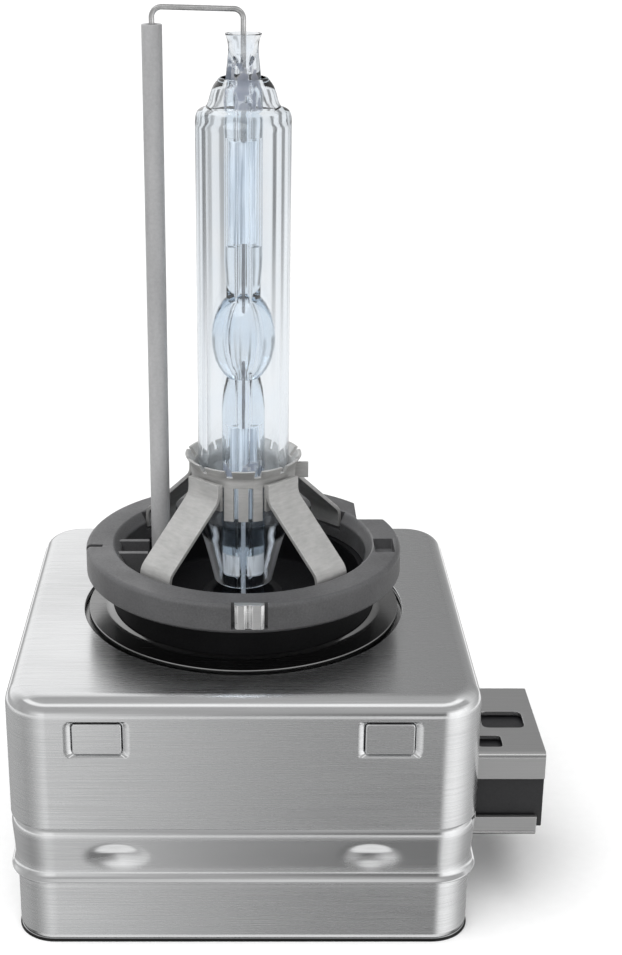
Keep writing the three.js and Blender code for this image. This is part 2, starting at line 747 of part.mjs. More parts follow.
group.add(mesh('outer_bulb', outerBulb(), GLASS));
group.add(mesh('arc_tube', arcTube(), GLASS));
group.add(mesh('lower_foil', foil(LOWER_FOIL), DARK_METAL));
group.add(mesh('upper_foil', foil(UPPER_FOIL), DARK_METAL));
group.add(mesh('lower_electrode', electrode(LOWER_FOIL[1], ARC_CENTRE - ELECTRODE_GAP / 2), DARK_METAL));
group.add(mesh('upper_electrode', electrode(UPPER_FOIL[0], ARC_CENTRE + ELECTRODE_GAP / 2), DARK_METAL));
group.add(mesh('lower_lead_wire', lowerLead(), METAL));
group.add(mesh('return_wire', returnWire(), METAL));
group.add(mesh('ceramic_tube', ceramicTube(), CERAMIC));

group.add(mesh('clamp_collar', clampCollar(), METAL));
STRAP_AZIMUTHS.forEach((azimuth, i) => {
  group.add(mesh(STRAP_NAMES[i], bentStrip(STRAP_LINE, STRAP_SHEET, STRAP_WIDTH, azimuth), METAL));
});

group.add(mesh('connector_shield', connectorShield(), METAL));
group.add(mesh('connector_housing', connectorHousing(), BLACK));
PIN_Y.forEach((y, i) => {
  group.add(mesh(`connector_pin_${i + 1}`, connectorPin(y), BRASS));
});

group.add(mesh('igniter_tray', igniterTray(), BLACK));
group.add(mesh('tray_lid', trayLid(), BLACK));
group.add(mesh('transformer_core', coreRod(), FERRITE));
group.add(mesh('transformer_bobbin', bobbin(), CREAM));
for (let chamber = 0; chamber < COIL_CHAMBERS; chamber += 1) {
  group.add(mesh(`secondary_coil_${chamber + 1}`, secondaryCoil(chamber), COPPER));
}
group.add(mesh('primary_foil', primaryFoil(), COPPER));
group.add(mesh('high_voltage_contact', highVoltageContact(), BRASS));
group.add(mesh('return_busbar', returnBusbar(), BRASS));
group.add(mesh('supply_busbar', supplyBusbar(), BRASS));
group.add(mesh('spark_busbar', sparkBusbar(), BRASS));
group.add(mesh('spark_gap_body', sparkGapBody(), WHITE_CERAMIC));
group.add(mesh('spark_gap_cap_1', sparkGapCap([-18.4, -17.0]), METAL));
group.add(mesh('spark_gap_cap_2', sparkGapCap([-12.0, -10.6]), METAL));
group.add(mesh('ignition_capacitor', block([-18.6, -11.4], [-17.8, -9.4], [2.5, 14.0]), CREAM));
group.add(mesh('filter_capacitor', block([11.4, 18.6], [-17.8, -10.2], [2.5, 9.6]), CREAM));
group.add(mesh('charging_resistor', rodAlongX([10.6, 18.4], 13.4, 6.0, 1.9), WHITE_CERAMIC));

export default group;
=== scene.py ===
"""Looks of the headlight bulb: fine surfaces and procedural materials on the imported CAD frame.

Lengths are in millimetres until a piece is finished, when its mesh is scaled to metres.
The lamp axis is Z, the box stands on the floor at z = 0, and the connector points along +X.
"""

import math

import bmesh
import bpy
from mathutils import Matrix, Vector


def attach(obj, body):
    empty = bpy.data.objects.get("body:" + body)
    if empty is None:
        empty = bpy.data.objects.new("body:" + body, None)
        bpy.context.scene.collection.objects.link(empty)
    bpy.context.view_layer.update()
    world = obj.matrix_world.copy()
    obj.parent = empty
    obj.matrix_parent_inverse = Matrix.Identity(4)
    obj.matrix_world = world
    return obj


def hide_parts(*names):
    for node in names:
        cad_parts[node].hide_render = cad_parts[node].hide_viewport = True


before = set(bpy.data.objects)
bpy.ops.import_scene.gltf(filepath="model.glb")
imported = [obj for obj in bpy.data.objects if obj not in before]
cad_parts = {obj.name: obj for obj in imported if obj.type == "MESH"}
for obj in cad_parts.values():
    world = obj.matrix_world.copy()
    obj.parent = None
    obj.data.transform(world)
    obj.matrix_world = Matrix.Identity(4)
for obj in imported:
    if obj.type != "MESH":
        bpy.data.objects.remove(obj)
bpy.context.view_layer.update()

MM = 0.001
BODY = "root"
BROAD_FACE = 3 * MM**2

# ---- camera ----
CAMERA_PLACE = (0.0, -0.1562, 0.0982)
CAMERA_PITCH = math.radians(20.57)
CAMERA_LENS = 63.6
CAMERA_SHIFT = 0.0708

# ---- case ----
BOX_WIDTH = 44.1
BOX_DEPTH = 42.4
BOX_HEIGHT = 26.0
BOX_CORNER = 4.1
CORNER_STEPS = 14
CAN_SHEET = 0.5
CAN_TOP_EDGE = 1.6
CAN_HOLE_RADIUS = 16.05
SEAM_Z = 12.6
LOWER_SHEET = 0.6
LOWER_STEP = 0.45
LOWER_BEAD_Z = 7.2
FOOT_SEAM = 0.25
LATCH_X = 13.35
WINDOW_WIDTH = 6.1
WINDOW_Z = (20.2, 23.9)
TONGUE_WIDTH = 6.7
PAD_WIDTH = 4.5
DENT_X = 11.9
DENT_Z = 9.6
DENT_HALF = (3.1, 1.6)
DENT_DEPTH = 0.27

# ---- base ----
RING_RADIUS = 15.7
RING_BOTTOM = 30.0
RING_TOP = 32.95
RING_KEY = ((11.7, 17.0), (5.4, 17.0))
RING_POCKET = ((13.0, 14.95), (-3.2, 0.2))
RING_SLIT = ((-17.0, -14.0), (-1.9, -1.3))
RIB_Y = (1.1, -2.0)
TAB_X = 0.55
TAB_BACK = -15.0
BOWL_RADIUS = 12.2
NECK_RADIUS = 13.1
FLANGE_RADIUS = 15.6
FLANGE_TOP = 26.3
BOWL_FLOOR = 26.0
LID_TOP = 24.4

# ---- burner ----
GLASS_RADIUS = 4.45
GLASS_BORE = 3.55
ARC_CENTRE = 54.1
ARC_RADIUS = 3.05
STEM_BORE = 0.55
LOWER_FOIL = (35.5, 45.0)
UPPER_FOIL = (63.2, 72.7)
ROD_X = -8.25
ROD_RADIUS = 0.94
ROD_BORE = 0.55
ROD_Z = (23.4, 83.1)
WIRE_RADIUS = 0.25
WIRE_FOOT = 20.0
WIRE_TOP_OVER_ROD = 84.6
WIRE_TOP_OVER_STEM = 84.42

# ---- clamp ----
COLLAR_BORE = 4.75
FINGER_FOOT = 36.9
BAND_Z = (40.3, 41.3)
CROWN_TOP = 42.2
STRAPS = {
    "strap_front_left": -133,
    "strap_front_right": -47,
    "strap_back_right": 45,
    "strap_back_left": 135,
}
STRAP_WIDTH = 4.0
STRAP_SHEET = 0.42
STRAP_LINE = [(5.52, 40.8), (5.52, 39.1), (12.25, 33.2), (12.25, 31.4)]

# ---- connector ----
PLUG_Y = (-14.6, -0.9)
PLUG_Z = (7.8, 16.9)
PLUG_END = 29.05
PLUG_SHEET = 0.45
CONNECTOR_INNER = 20.45
PIN_Y = (-11.55, -9.0, -6.5, -3.95)
PIN_Z = 12.35
PIN_SIDE = 0.8
SHIELD_SLOTS = [
    ((23.55, 27.7), (-9.5, -6.25), 0.7),
    ((22.7, 25.0), (-13.25, -11.1), 0.4),
]
FIT = 0.3

# ---- studio ----
FLOOR_SIZE = 12.0  # metres
KEY_STRENGTH = 3.6
KEY_SPREAD = 68
KEY_FROM = (-0.22, -0.34, 0.95)
DIFFUSE_SKY = 0.22
SKY_LEAN = 0.2
# The brightest level that a list of panels may hold.
BRIGHTEST = 2.0

# Brightness of the tent's wall panels by heading in degrees: 0 is the front, 90 the right, 180 the back.
WALL_PANELS = [
    (-180, 0.5), (-150, 0.5), (-125, 0.6), (-80, 0.56), (-68, 0.48), (-50, 0.57), (-34, 0.84),
    (-20, 1.12), (-8, 1.12), (-4, 0.64), (0, 0.43), (4, 0.24), (8, 0.18), (15, 0.24), (21, 0.8),
    (29, 1.35), (50, 1.5), (70, 1.3), (100, 0.7), (130, 0.5), (180, 0.5),
]
BACK_PANELS = [
    (-180, 0.85), (-176, 1.2), (-130, 1.15), (-96, 0.6), (-57, 0.7), (-23, 0.8), (0, 0.5), (8, 0.3),
    (23, 0.3), (45, 0.8), (75, 1.0), (110, 0.7), (140, 0.4), (172, 0.3), (177, 0.36), (180, 0.85),
]
# How the wall panels change with the angle below and above the horizon.
WALL_BY_HEIGHT = [
    (-90, 0.05), (-74, 0.06), (-52, 0.3), (-42, 0.7), (-36, 0.77), (-28, 0.84), (-24, 0.84), (-7, 0.97),
    (90, 0.97),
]
# Two low strip lights that run all round, one near the floor and one under the horizon.
LOW_STRIPS = [
    (-90, 0.0), (-73, 0.0), (-70, 1.05), (-55, 1.05), (-51, 0.0), (-28, 0.0), (-26, 0.35), (-21, 0.36),
    (-18, 1.1), (-12, 1.1), (-8, 0.0), (90, 0.0),
]
# Over the front: a dim gap, one bright strip light and a dim ceiling.
FRONT_BY_HEIGHT = [(-90, 0.5), (10, 0.5), (36, 0.5), (42, 1.27), (54, 1.27), (60, 0.55), (90, 0.5)]
# What is seen bent through the glass: a bright backdrop with dark cards beside it.
GLASS_PANELS = [
    (-180, 0.9), (-176.5, 0.9), (-175, 0.42), (-173, 0.42), (-171.5, 0.86), (-166, 0.86), (-163, 0.45),
    (-158, 0.45), (-152, 0.95), (-143, 0.95), (-138, 0.25), (-124, 0.25), (-116, 0.9), (-90, 0.9),
    (-60, 0.5), (0, 0.7), (60, 0.5), (90, 0.9), (118, 0.9), (128, 0.3), (137, 0.3), (142, 0.95),
    (162, 0.95), (164, 0.15), (167, 0.15), (169, 0.9), (180, 0.9),
]


# ---- mesh helpers ----------------------------------------------------------------------------


def mesh_object(name, points, faces):
    mesh = bpy.data.meshes.new(name)
    mesh.from_pydata([tuple(p) for p in points], [], faces)
    mesh.validate()
    mesh.update()
    made = bpy.data.objects.new(name, mesh)
    bpy.context.scene.collection.objects.link(made)
    return made


def rounded(corners, steps=6):
    """A closed outline of (a, b, cut) corners, each rounded from that far back along its edges."""
    outline = []
    count = len(corners)
    for i, (a, b, cut) in enumerate(corners):
        here = Vector((a, b))
        before = Vector(corners[i - 1][:2]) - here
        after = Vector(corners[(i + 1) % count][:2]) - here
        if cut <= 0:
            outline.append(tuple(here))
            continue
        start = here + before.normalized() * min(cut, 0.48 * before.length)
        end = here + after.normalized() * min(cut, 0.48 * after.length)
        for k in range(steps + 1):
            t = k / steps
            point = start * (1 - t) ** 2 + here * 2 * t * (1 - t) + end * t * t
            outline.append(tuple(point))
    return outline


def turned(name, outline, segments=128):
    """Solid of revolution about Z from a closed outline of (radius, z)."""
    points = []
    faces = []
    count = len(outline)
    for s in range(segments):
        angle = 2 * math.pi * s / segments
        points += [(r * math.cos(angle), r * math.sin(angle), z) for r, z in outline]
    for s in range(segments):
        a = s * count
        b = (s + 1) % segments * count
        for i in range(count):
            j = (i + 1) % count
            faces.append((a + i, a + j, b + j, b + i))
    return outward(mesh_object(name, points, faces))


def lofted(name, rings):
    """Closed surface through rings of equal length, with flat ends."""
    count = len(rings[0])
    points = [p for ring in rings for p in ring]
    faces = [tuple(range(count)), tuple(range(len(points) - count, len(points)))]
    for r in range(len(rings) - 1):
        for i in range(count):
            j = (i + 1) % count
            low, high = r * count, (r + 1) * count
            faces.append((low + i, low + j, high + j, high + i))
    return outward(mesh_object(name, points, faces))


def outward(piece):
    """Merges doubled points and turns all faces outward."""
    work = bmesh.new()
    work.from_mesh(piece.data)
    bmesh.ops.remove_doubles(work, verts=work.verts, dist=1e-5)
    bmesh.ops.recalc_face_normals(work, faces=work.faces)
    work.to_mesh(piece.data)
    work.free()
    return piece


def block(name, x, y, z):
    corners = [(x[0], y[0]), (x[1], y[0]), (x[1], y[1]), (x[0], y[1])]
    return lofted(name, [[(a, b, height) for a, b in corners] for height in z])


def plan_ring(half_x, half_y, radius, z, side_steps=1):
    """Rounded rectangle in plan at one height, with its straight sides in side_steps steps."""
    ring = []
    for corner, (sx, sy) in enumerate(((1, 1), (-1, 1), (-1, -1), (1, -1))):
        for k in range(CORNER_STEPS + 1):
            angle = (corner + k / CORNER_STEPS) * math.pi / 2
            x = sx * (half_x - radius) + radius * math.cos(angle)
            y = sy * (half_y - radius) + radius * math.sin(angle)
            ring.append((x, y, z))
        next_x, next_y = ((-1, 1), (-1, -1), (1, -1), (1, 1))[corner]
        angle = (corner + 1) * math.pi / 2
        end_x = next_x * (half_x - radius) + radius * math.cos(angle)
        end_y = next_y * (half_y - radius) + radius * math.sin(angle)
        for k in range(1, side_steps):
            t = k / side_steps
            ring.append((x + (end_x - x) * t, y + (end_y - y) * t, z))
    return ring


def box_ring(inset, z, side_steps=1):
    return plan_ring(BOX_WIDTH / 2 - inset, BOX_DEPTH / 2 - inset, BOX_CORNER - inset, z, side_steps)


def arc(centre, radius, start, end, steps):
    points = []
    for k in range(steps + 1):
        angle = math.radians(start + (end - start) * k / steps)
        points.append((centre[0] + radius * math.cos(angle), centre[1] + radius * math.sin(angle)))
    return points


def prism(name, outline, low, high, axes="xyz"):
    """A flat outline given a length: axes names where the outline's two axes and the length go."""
    order = ["xyz".index(letter) for letter in axes]
    rings = []
    for depth in (low, high):
        ring = []
        for a, b in outline:
            point = [0.0, 0.0, 0.0]
            for place, value in zip(order, (a, b, depth)):
                point[place] = value
            ring.append(tuple(point))
        rings.append(ring)
    return lofted(name, rings)


def rounded_block(name, x, y, z, radius, along="z"):
    """A block whose four edges along one axis are rounded."""
    spans = {"x": x, "y": y, "z": z}
    flat = [letter for letter in "xyz" if letter != along]
    a, b = spans[flat[0]], spans[flat[1]]
    corners = [(a[0], b[0], radius), (a[1], b[0], radius), (a[1], b[1], radius), (a[0], b[1], radius)]
    low, high = spans[along]
    return prism(name, rounded(corners, 5), low, high, flat[0] + flat[1] + along)


def spin(piece, degrees):
    piece.data.transform(Matrix.Rotation(math.radians(degrees), 4, "Z"))
    return piece


def settle(piece):
    """Applies a piece's modifiers to its mesh."""
    graph = bpy.context.evaluated_depsgraph_get()
    final = bpy.data.meshes.new_from_object(piece.evaluated_get(graph))
    piece.modifiers.clear()
    piece.data = final
    return piece


def combine(piece, tool, how):
    modifier = piece.modifiers.new("combine", "BOOLEAN")
    modifier.operation = how
    modifier.solver = "EXACT"
    modifier.object = tool
    settle(piece)
    bpy.data.objects.remove(tool)
    return piece


def cut(piece, *tools):
    for tool in tools:
        combine(piece, tool, "DIFFERENCE")
    return piece


def join(piece, *tools):
    for tool in tools:
        combine(piece, tool, "UNION")
    return piece


def soften(piece, width, segments=2, angle=35):
    """Rounds the sharp edges, so that they catch the light."""
    modifier = piece.modifiers.new("edges", "BEVEL")
    modifier.width = width
    modifier.segments = segments
    modifier.limit_method = "ANGLE"
    modifier.angle_limit = math.radians(angle)
    modifier.use_clamp_overlap = True
    modifier.harden_normals = False
    return settle(piece)


def flatten_walls(mesh):
    """Shades every broad face that is square to an axis evenly, with no shading from its corners."""
    normals = [tuple(corner.vector) for corner in mesh.corner_normals]
    for face in mesh.polygons:
        square = max(abs(part) for part in face.normal) > 0.99999
        if face.area < BROAD_FACE or not square:
            continue
        for corner in face.loop_indices:
            normals[corner] = tuple(face.normal)
    mesh.normals_split_custom_set(normals)


def finish_piece(piece, material, slot, *nodes, sharp=28):
    """Scales a piece to metres, smooths it, and puts it in place of its CAD nodes."""
    piece.data.transform(Matrix.Scale(MM, 4))
    piece.data.shade_smooth()
    piece.data.set_sharp_from_angle(angle=math.radians(sharp))
    weighted = piece.modifiers.new("flat faces stay flat", "WEIGHTED_NORMAL")
    weighted.keep_sharp = True
    settle(piece)
    flatten_walls(piece.data)
    piece.data.materials.clear()
    piece.data.materials.append(material)
    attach(piece, BODY)
    if nodes:
        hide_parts(*nodes)
    return piece


# ---- material helpers ------------------------------------------------------------------------


class Nodes:
    """Short calls for building a node tree."""

    def __init__(self, tree):
        self.tree = tree

    def add(self, kind, **settings):
        node = self.tree.nodes.new(kind)
        for key, value in settings.items():
            setattr(node, key, value)
        return node

    def link(self, source, target):
        self.tree.links.new(source, target)

    def give(self, value, socket):
        """Sets a socket to a number, or links it to another socket."""
        if isinstance(value, (int, float)):
            socket.default_value = value
        else:
            self.link(value, socket)

    def math(self, operation, a, b=None):
        node = self.add("ShaderNodeMath", operation=operation)
        self.give(a, node.inputs[0])
        if b is not None:
            self.give(b, node.inputs[1])
        return node.outputs[0]

    def between(self, factor, first, second):
        """Two numbers or sockets mixed by a factor."""
        node = self.add("ShaderNodeMix", data_type="FLOAT")
        self.link(factor, node.inputs["Factor"])
        self.give(first, node.inputs[2])
        self.give(second, node.inputs[3])
        return node.outputs[0]

    def spread(self, source, low, high, start=0.3, end=0.7):
        node = self.add("ShaderNodeMapRange")
        node.inputs["From Min"].default_value = start
        node.inputs["From Max"].default_value = end
        node.inputs["To Min"].default_value = low
        node.inputs["To Max"].default_value = high
        self.link(source, node.inputs["Value"])
        return node.outputs["Result"]


class Surface(Nodes):
    """The node tree of one material, around its Principled shader."""

    def __init__(self, name):
        self.material = bpy.data.materials.new(name)
        self.material.use_nodes = True
        super().__init__(self.material.node_tree)
        self.shader = self.tree.nodes["Principled BSDF"]

    def set(self, **values):
        for key, value in values.items():
            self.shader.inputs[key.replace("_", " ")].default_value = value

    def stretched(self, scale):
        """Object coordinates in metres, scaled along each axis."""
        coordinates = self.add("ShaderNodeTexCoord")
        mapping = self.add("ShaderNodeMapping")
        mapping.inputs["Scale"].default_value = scale
        self.link(coordinates.outputs["Object"], mapping.inputs["Vector"])
        return mapping.outputs["Vector"]

    def noise(self, scale, detail=3.0, roughness=0.5, size=(1, 1, 1)):
        noise = self.add("ShaderNodeTexNoise")
        noise.inputs["Scale"].default_value = scale
        noise.inputs["Detail"].default_value = detail
        noise.inputs["Roughness"].default_value = roughness
        self.link(self.stretched(size), noise.inputs["Vector"])
        return noise.outputs["Fac"]

    def blend(self, factor, first, second):
        """Two colours mixed by a factor, or two sockets."""
        node = self.add("ShaderNodeMix", data_type="RGBA")
        self.link(factor, node.inputs["Factor"])
        for socket, value in ((node.inputs[6], first), (node.inputs[7], second)):
            if isinstance(value, bpy.types.NodeSocket):
                self.link(value, socket)
            else:
                socket.default_value = (*value, 1.0)
        return node.outputs[2]

    def bump(self, height, strength, distance):
        node = self.add("ShaderNodeBump")
        node.inputs["Strength"].default_value = strength
        node.inputs["Distance"].default_value = distance
        self.link(height, node.inputs["Height"])
        return node.outputs["Normal"]

    def use(self, **sources):
        for key, source in sources.items():
            self.link(source, self.shader.inputs[key.replace("_", " ")])
        return self.material


def upward_share(nodes):
    """How far a surface faces up or down, from 0 on a wall to 1 on a level face."""
    geometry = nodes.add("ShaderNodeNewGeometry")
    parts = nodes.add("ShaderNodeSeparateXYZ")
    nodes.link(geometry.outputs["Normal"], parts.inputs["Vector"])
    return nodes.math("ABSOLUTE", parts.outputs["Z"])


def brushed_steel(name, tint, roughness, anisotropy, grain):
    """Sheet steel: level grain on its walls, grain along X on its top, and painted shade along the foot at
    the sole.
    """
    nodes = Surface(name)
    level = upward_share(nodes)
    wall_grain = nodes.noise(1.0, 4.0, 0.6, size=(110, 110, 9000))
    top_grain = nodes.noise(1.0, 4.0, 0.6, size=(110, 9000, 110))
    lines = nodes.between(level, wall_grain, top_grain)
    smears = nodes.noise(1.0, 2.0, 0.5, size=(60, 60, 220))
    tone = nodes.math("ADD", nodes.math("MULTIPLY", lines, 0.65), nodes.math("MULTIPLY", smears, 0.35))
    dark = [c * 0.86 for c in tint]
    colour = nodes.blend(nodes.spread(tone, 0.0, 1.0, 0.35, 0.65), dark, tint)
    # Painted shade: below the foot seam the walls turn nearly black, a painted contact shadow under the
    # fold.
    sole_shade_band = height_band(nodes, -1.0, FOOT_SEAM, 0.04)
    painted_sole_shade = nodes.math("MULTIPLY", sole_shade_band, nodes.spread(level, 1.0, 0.0, 0.85, 0.95))
    colour = nodes.blend(painted_sole_shade, colour, (0.03, 0.03, 0.03))
    gloss = nodes.spread(tone, roughness + 0.05, roughness - 0.05, 0.35, 0.65)
    bent = nodes.math("MULTIPLY", level, nodes.math("SUBTRACT", 1.0, level))
    gloss = nodes.math("MULTIPLY", gloss, nodes.spread(bent, 1.0, 0.45, 0.01, 0.16))
    along = nodes.add("ShaderNodeCombineXYZ")
    nodes.link(level, along.inputs["Y"])
    nodes.link(nodes.math("SUBTRACT", 1.0, level), along.inputs["Z"])
    nodes.set(Metallic=1.0, Anisotropic=anisotropy)
    return nodes.use(
        Base_Color=colour,
        Roughness=gloss,
        Tangent=along.outputs["Vector"],
        Normal=nodes.bump(lines, grain, 0.00001),
    )


def spring_steel(name, tint, roughness):
    """Satin stamped strip with faint rolling marks and small dull patches."""
    nodes = Surface(name)
    rolled = nodes.noise(1.0, 3.0, 0.6, size=(900, 900, 5200))
    patches = nodes.noise(420, 3.0, 0.6)
    tone = nodes.math("ADD", nodes.math("MULTIPLY", rolled, 0.5), nodes.math("MULTIPLY", patches, 0.5))
    colour = nodes.blend(nodes.spread(tone, 0.0, 1.0, 0.35, 0.65), [c * 0.8 for c in tint], tint)
    nodes.set(Metallic=0.55)
    return nodes.use(
        Base_Color=colour,
        Roughness=nodes.spread(tone, roughness + 0.08, roughness - 0.06, 0.35, 0.65),
        Normal=nodes.bump(rolled, 0.25, 0.00001),
    )


def bright_metal(name, tint, roughness, metallic=1.0):
    """Drawn or turned metal with faint marks."""
    nodes = Surface(name)
    marks = nodes.noise(900, 3.0, 0.6)
    colour = nodes.blend(nodes.spread(marks, 0.0, 1.0), [c * 0.78 for c in tint], tint)
    nodes.set(Metallic=metallic)
    return nodes.use(
        Base_Color=colour,
        Roughness=nodes.spread(marks, roughness + 0.06, roughness - 0.04),
        Normal=nodes.bump(marks, 0.15, 0.00001),
    )


def rolled_foil(name):
    """Thin pale foil with long streaks from rolling."""
    nodes = Surface(name)
    streaks = nodes.noise(1.0, 4.0, 0.7, size=(2600, 2600, 40))
    colour = nodes.blend(nodes.spread(streaks, 0.0, 1.0, 0.42, 0.58), (0.34, 0.38, 0.43), (0.84, 0.88, 0.92))
    nodes.set(Metallic=0.15)
    return nodes.use(
        Base_Color=colour,
        Roughness=nodes.spread(streaks, 0.55, 0.4),
        Normal=nodes.bump(streaks, 0.3, 0.00002),
    )


def moulded_plastic(name, dark, light, roughness, fibre=0.3, shine=0.5):
    """Glass-filled moulding: fine speckle, slightly uneven gloss and a grain in the surface."""
    nodes = Surface(name)
    speckle = nodes.noise(5200, 2.0, 0.7)
    cloud = nodes.noise(160, 3.0, 0.55)
    tone = nodes.math("ADD", nodes.math("MULTIPLY", speckle, 0.45), nodes.math("MULTIPLY", cloud, 0.55))
    colour = nodes.blend(nodes.spread(tone, 0.0, 1.0, 0.35, 0.65), dark, light)
    nodes.set(IOR=1.5, Specular_IOR_Level=shine)
    return nodes.use(
        Base_Color=colour,
        Roughness=nodes.spread(tone, roughness + 0.07, roughness - 0.07, 0.35, 0.65),
        Normal=nodes.bump(speckle, fibre, 0.00002),
    )


def place(nodes, axis):
    """Where a point of the surface lies along one axis, in metres."""
    coordinates = nodes.add("ShaderNodeTexCoord")
    parts = nodes.add("ShaderNodeSeparateXYZ")
    nodes.link(coordinates.outputs["Object"], parts.inputs["Vector"])
    return parts.outputs[axis]


def height_band(nodes, low, high, fade):
    """1 between two heights in millimetres, fading out over fade beyond them."""
    z = nodes.math("MULTIPLY", place(nodes, "Z"), 1 / MM)
    rise = nodes.spread(z, 0.0, 1.0, low - fade, low)
    fall = nodes.spread(z, 1.0, 0.0, high, high + fade)
    return nodes.math("MULTIPLY", rise, fall)


def quartz(name, tint, ripple, cloud_and_highlight, absorb):
    """Clear quartz with faint draw lines along the tube, and a share of another colour: dark specks where it
    was fused, and painted highlights.
    """
    nodes = Surface(name)
    draw_lines = nodes.noise(1.0, 2.0, 0.5, size=(2600, 2600, 30))
    haze = nodes.noise(300, 2.0, 0.5)
    clear = nodes.blend(nodes.spread(haze, 0.0, 1.0), tint, (1.0, 1.0, 1.0))
    # The share is partly dark specks in the seals and partly painted highlight on the glass.
    share, tint_of_cloud_and_highlight = cloud_and_highlight(nodes)
    nodes.set(IOR=1.46)
    volume = nodes.add("ShaderNodeVolumeAbsorption")
    volume.inputs["Color"].default_value = (0.82, 0.88, 0.93, 1.0)
    volume.inputs["Density"].default_value = absorb
    output = nodes.tree.nodes["Material Output"]
    nodes.link(volume.outputs["Volume"], output.inputs["Volume"])
    return nodes.use(
        Base_Color=nodes.blend(share, clear, tint_of_cloud_and_highlight),
        Transmission_Weight=nodes.math("SUBTRACT", 1.0, share),
        Roughness=nodes.spread(haze, 0.0, 0.02),
        Normal=nodes.bump(draw_lines, ripple, 0.00002),
    )


def painted_rim_highlight(nodes):
    """Painted highlight on the edge of the outer bulb's lower cone: white where the glass turns away,
    standing in for light bent by the glass.
    """
    facing = nodes.add("ShaderNodeLayerWeight")
    facing.inputs["Blend"].default_value = 0.5
    edge = nodes.spread(facing.outputs["Facing"], 0.0, 0.95, 0.42, 0.64)
    cone = height_band(nodes, 28.9, 33.6, 0.6)
    return nodes.math("MULTIPLY", edge, cone), (0.92, 0.95, 1.0)


def fused_ends(nodes):
    """White streaks on the lower pinch, a painted highlight for light bent there, and dark specks in the two
    seals of the arc tube.
    """
    beside_lead = nodes.spread(nodes.math("ABSOLUTE", place(nodes, "X")), 0.0, 0.95, 0.00030, 0.00042)
    streaks = nodes.spread(nodes.noise(1.0, 2.0, 0.6, size=(1500, 1500, 260)), 0.45, 1.0, 0.38, 0.52)
    patches = nodes.math("MULTIPLY", beside_lead, streaks)
    # Painted highlight: white streaks on the lower pinch, left clear beside the lead.
    pinch_highlight = nodes.math("MULTIPLY", height_band(nodes, 30.1, 32.1, 0.2), patches)
    specks = nodes.spread(nodes.noise(1.0, 2.0, 0.6, size=(750, 750, 480)), 0.0, 0.8, 0.5, 0.56)
    seals = nodes.math("MAXIMUM", height_band(nodes, 75.6, 79.6, 0.5), height_band(nodes, 39.8, 41.4, 0.4))
    seal = nodes.math("MULTIPLY", seals, specks)
    colour = nodes.blend(height_band(nodes, 38.0, 90.0, 1.0), (0.92, 0.96, 1.0), (0.08, 0.10, 0.16))
    return nodes.math("MAXIMUM", pinch_highlight, seal), colour


def fired_ceramic(name, dark, light, roughness):
    """Fired body with fine grains and long faint stains."""
    nodes = Surface(name)
    grains = nodes.noise(3200, 4.0, 0.7)
    stains = nodes.noise(1.0, 3.0, 0.6, size=(500, 500, 90))
    tone = nodes.math("ADD", nodes.math("MULTIPLY", grains, 0.4), nodes.math("MULTIPLY", stains, 0.6))
    colour = nodes.blend(nodes.spread(tone, 0.0, 1.0, 0.35, 0.65), dark, light)
    nodes.set(IOR=1.7)
    return nodes.use(
        Base_Color=colour,
        Roughness=nodes.spread(grains, roughness + 0.08, roughness - 0.05),
        Normal=nodes.bump(grains, 0.25, 0.00003),
    )


def wound_copper(name):
    """Layers of enamelled wire, seen as fine level turns."""
    nodes = Surface(name)
    turns = nodes.add("ShaderNodeTexWave", wave_type="BANDS", bands_direction="Z", wave_profile="SIN")
    turns.inputs["Scale"].default_value = 1300.0
    turns.inputs["Distortion"].default_value = 0.4
    nodes.link(nodes.stretched((1, 1, 1)), turns.inputs["Vector"])
    colour = nodes.blend(turns.outputs["Fac"], (0.22, 0.07, 0.025), (0.72, 0.30, 0.12))
    nodes.set(Metallic=0.85)
    rough = nodes.noise(700, 2.0, 0.5)
    return nodes.use(
        Base_Color=colour,
        Roughness=nodes.spread(rough, 0.38, 0.26),
        Normal=nodes.bump(turns.outputs["Fac"], 0.6, 0.00008),
    )


# ---- case ------------------------------------------------------------------------------------


def connector_opening():
    y = (PLUG_Y[0] - FIT, PLUG_Y[1] + FIT)
    z = (PLUG_Z[0] - FIT, PLUG_Z[1] + FIT)
    return rounded_block("opening", (BOX_WIDTH / 2 - 2, BOX_WIDTH / 2 + 1), y, z, 0.5, "x")


def can_fold():
    """(inset, z) over the top edge of the upper can: a round fold that eases into the wall."""
    bend = BOX_HEIGHT - CAN_TOP_EDGE
    wall_ease = [(0.0, bend - 0.28), (0.02, bend - 0.1), (0.045, bend + 0.1), (0.09, bend + 0.3)]
    return wall_ease + arc((CAN_TOP_EDGE + 0.1, bend), CAN_TOP_EDGE, 160, 90, 14)


def window_tool(x, side):
    """Tool for a latch window: its side walls slope in, and its inner half is straight."""
    half_x = WINDOW_WIDTH / 2
    half_z = (WINDOW_Z[1] - WINDOW_Z[0]) / 2
    middle = (WINDOW_Z[0] + WINDOW_Z[1]) / 2
    rings = []
    for out, trim_x, trim_z in ((0.4, -0.7, -0.2), (0.0, 0.0, 0.0), (-0.34, 0.7, 0.22), (-1.2, 0.7, 0.22)):
        wide, tall = half_x - trim_x, half_z - trim_z
        corners = [(-wide, -tall, 0.6), (wide, -tall, 0.6), (wide, tall, 0.6), (-wide, tall, 0.6)]
        depth = side * (BOX_DEPTH / 2 + out)
        rings.append([(x + a, depth, middle + b) for a, b in rounded(corners, 5)])
    return lofted("window", rings)


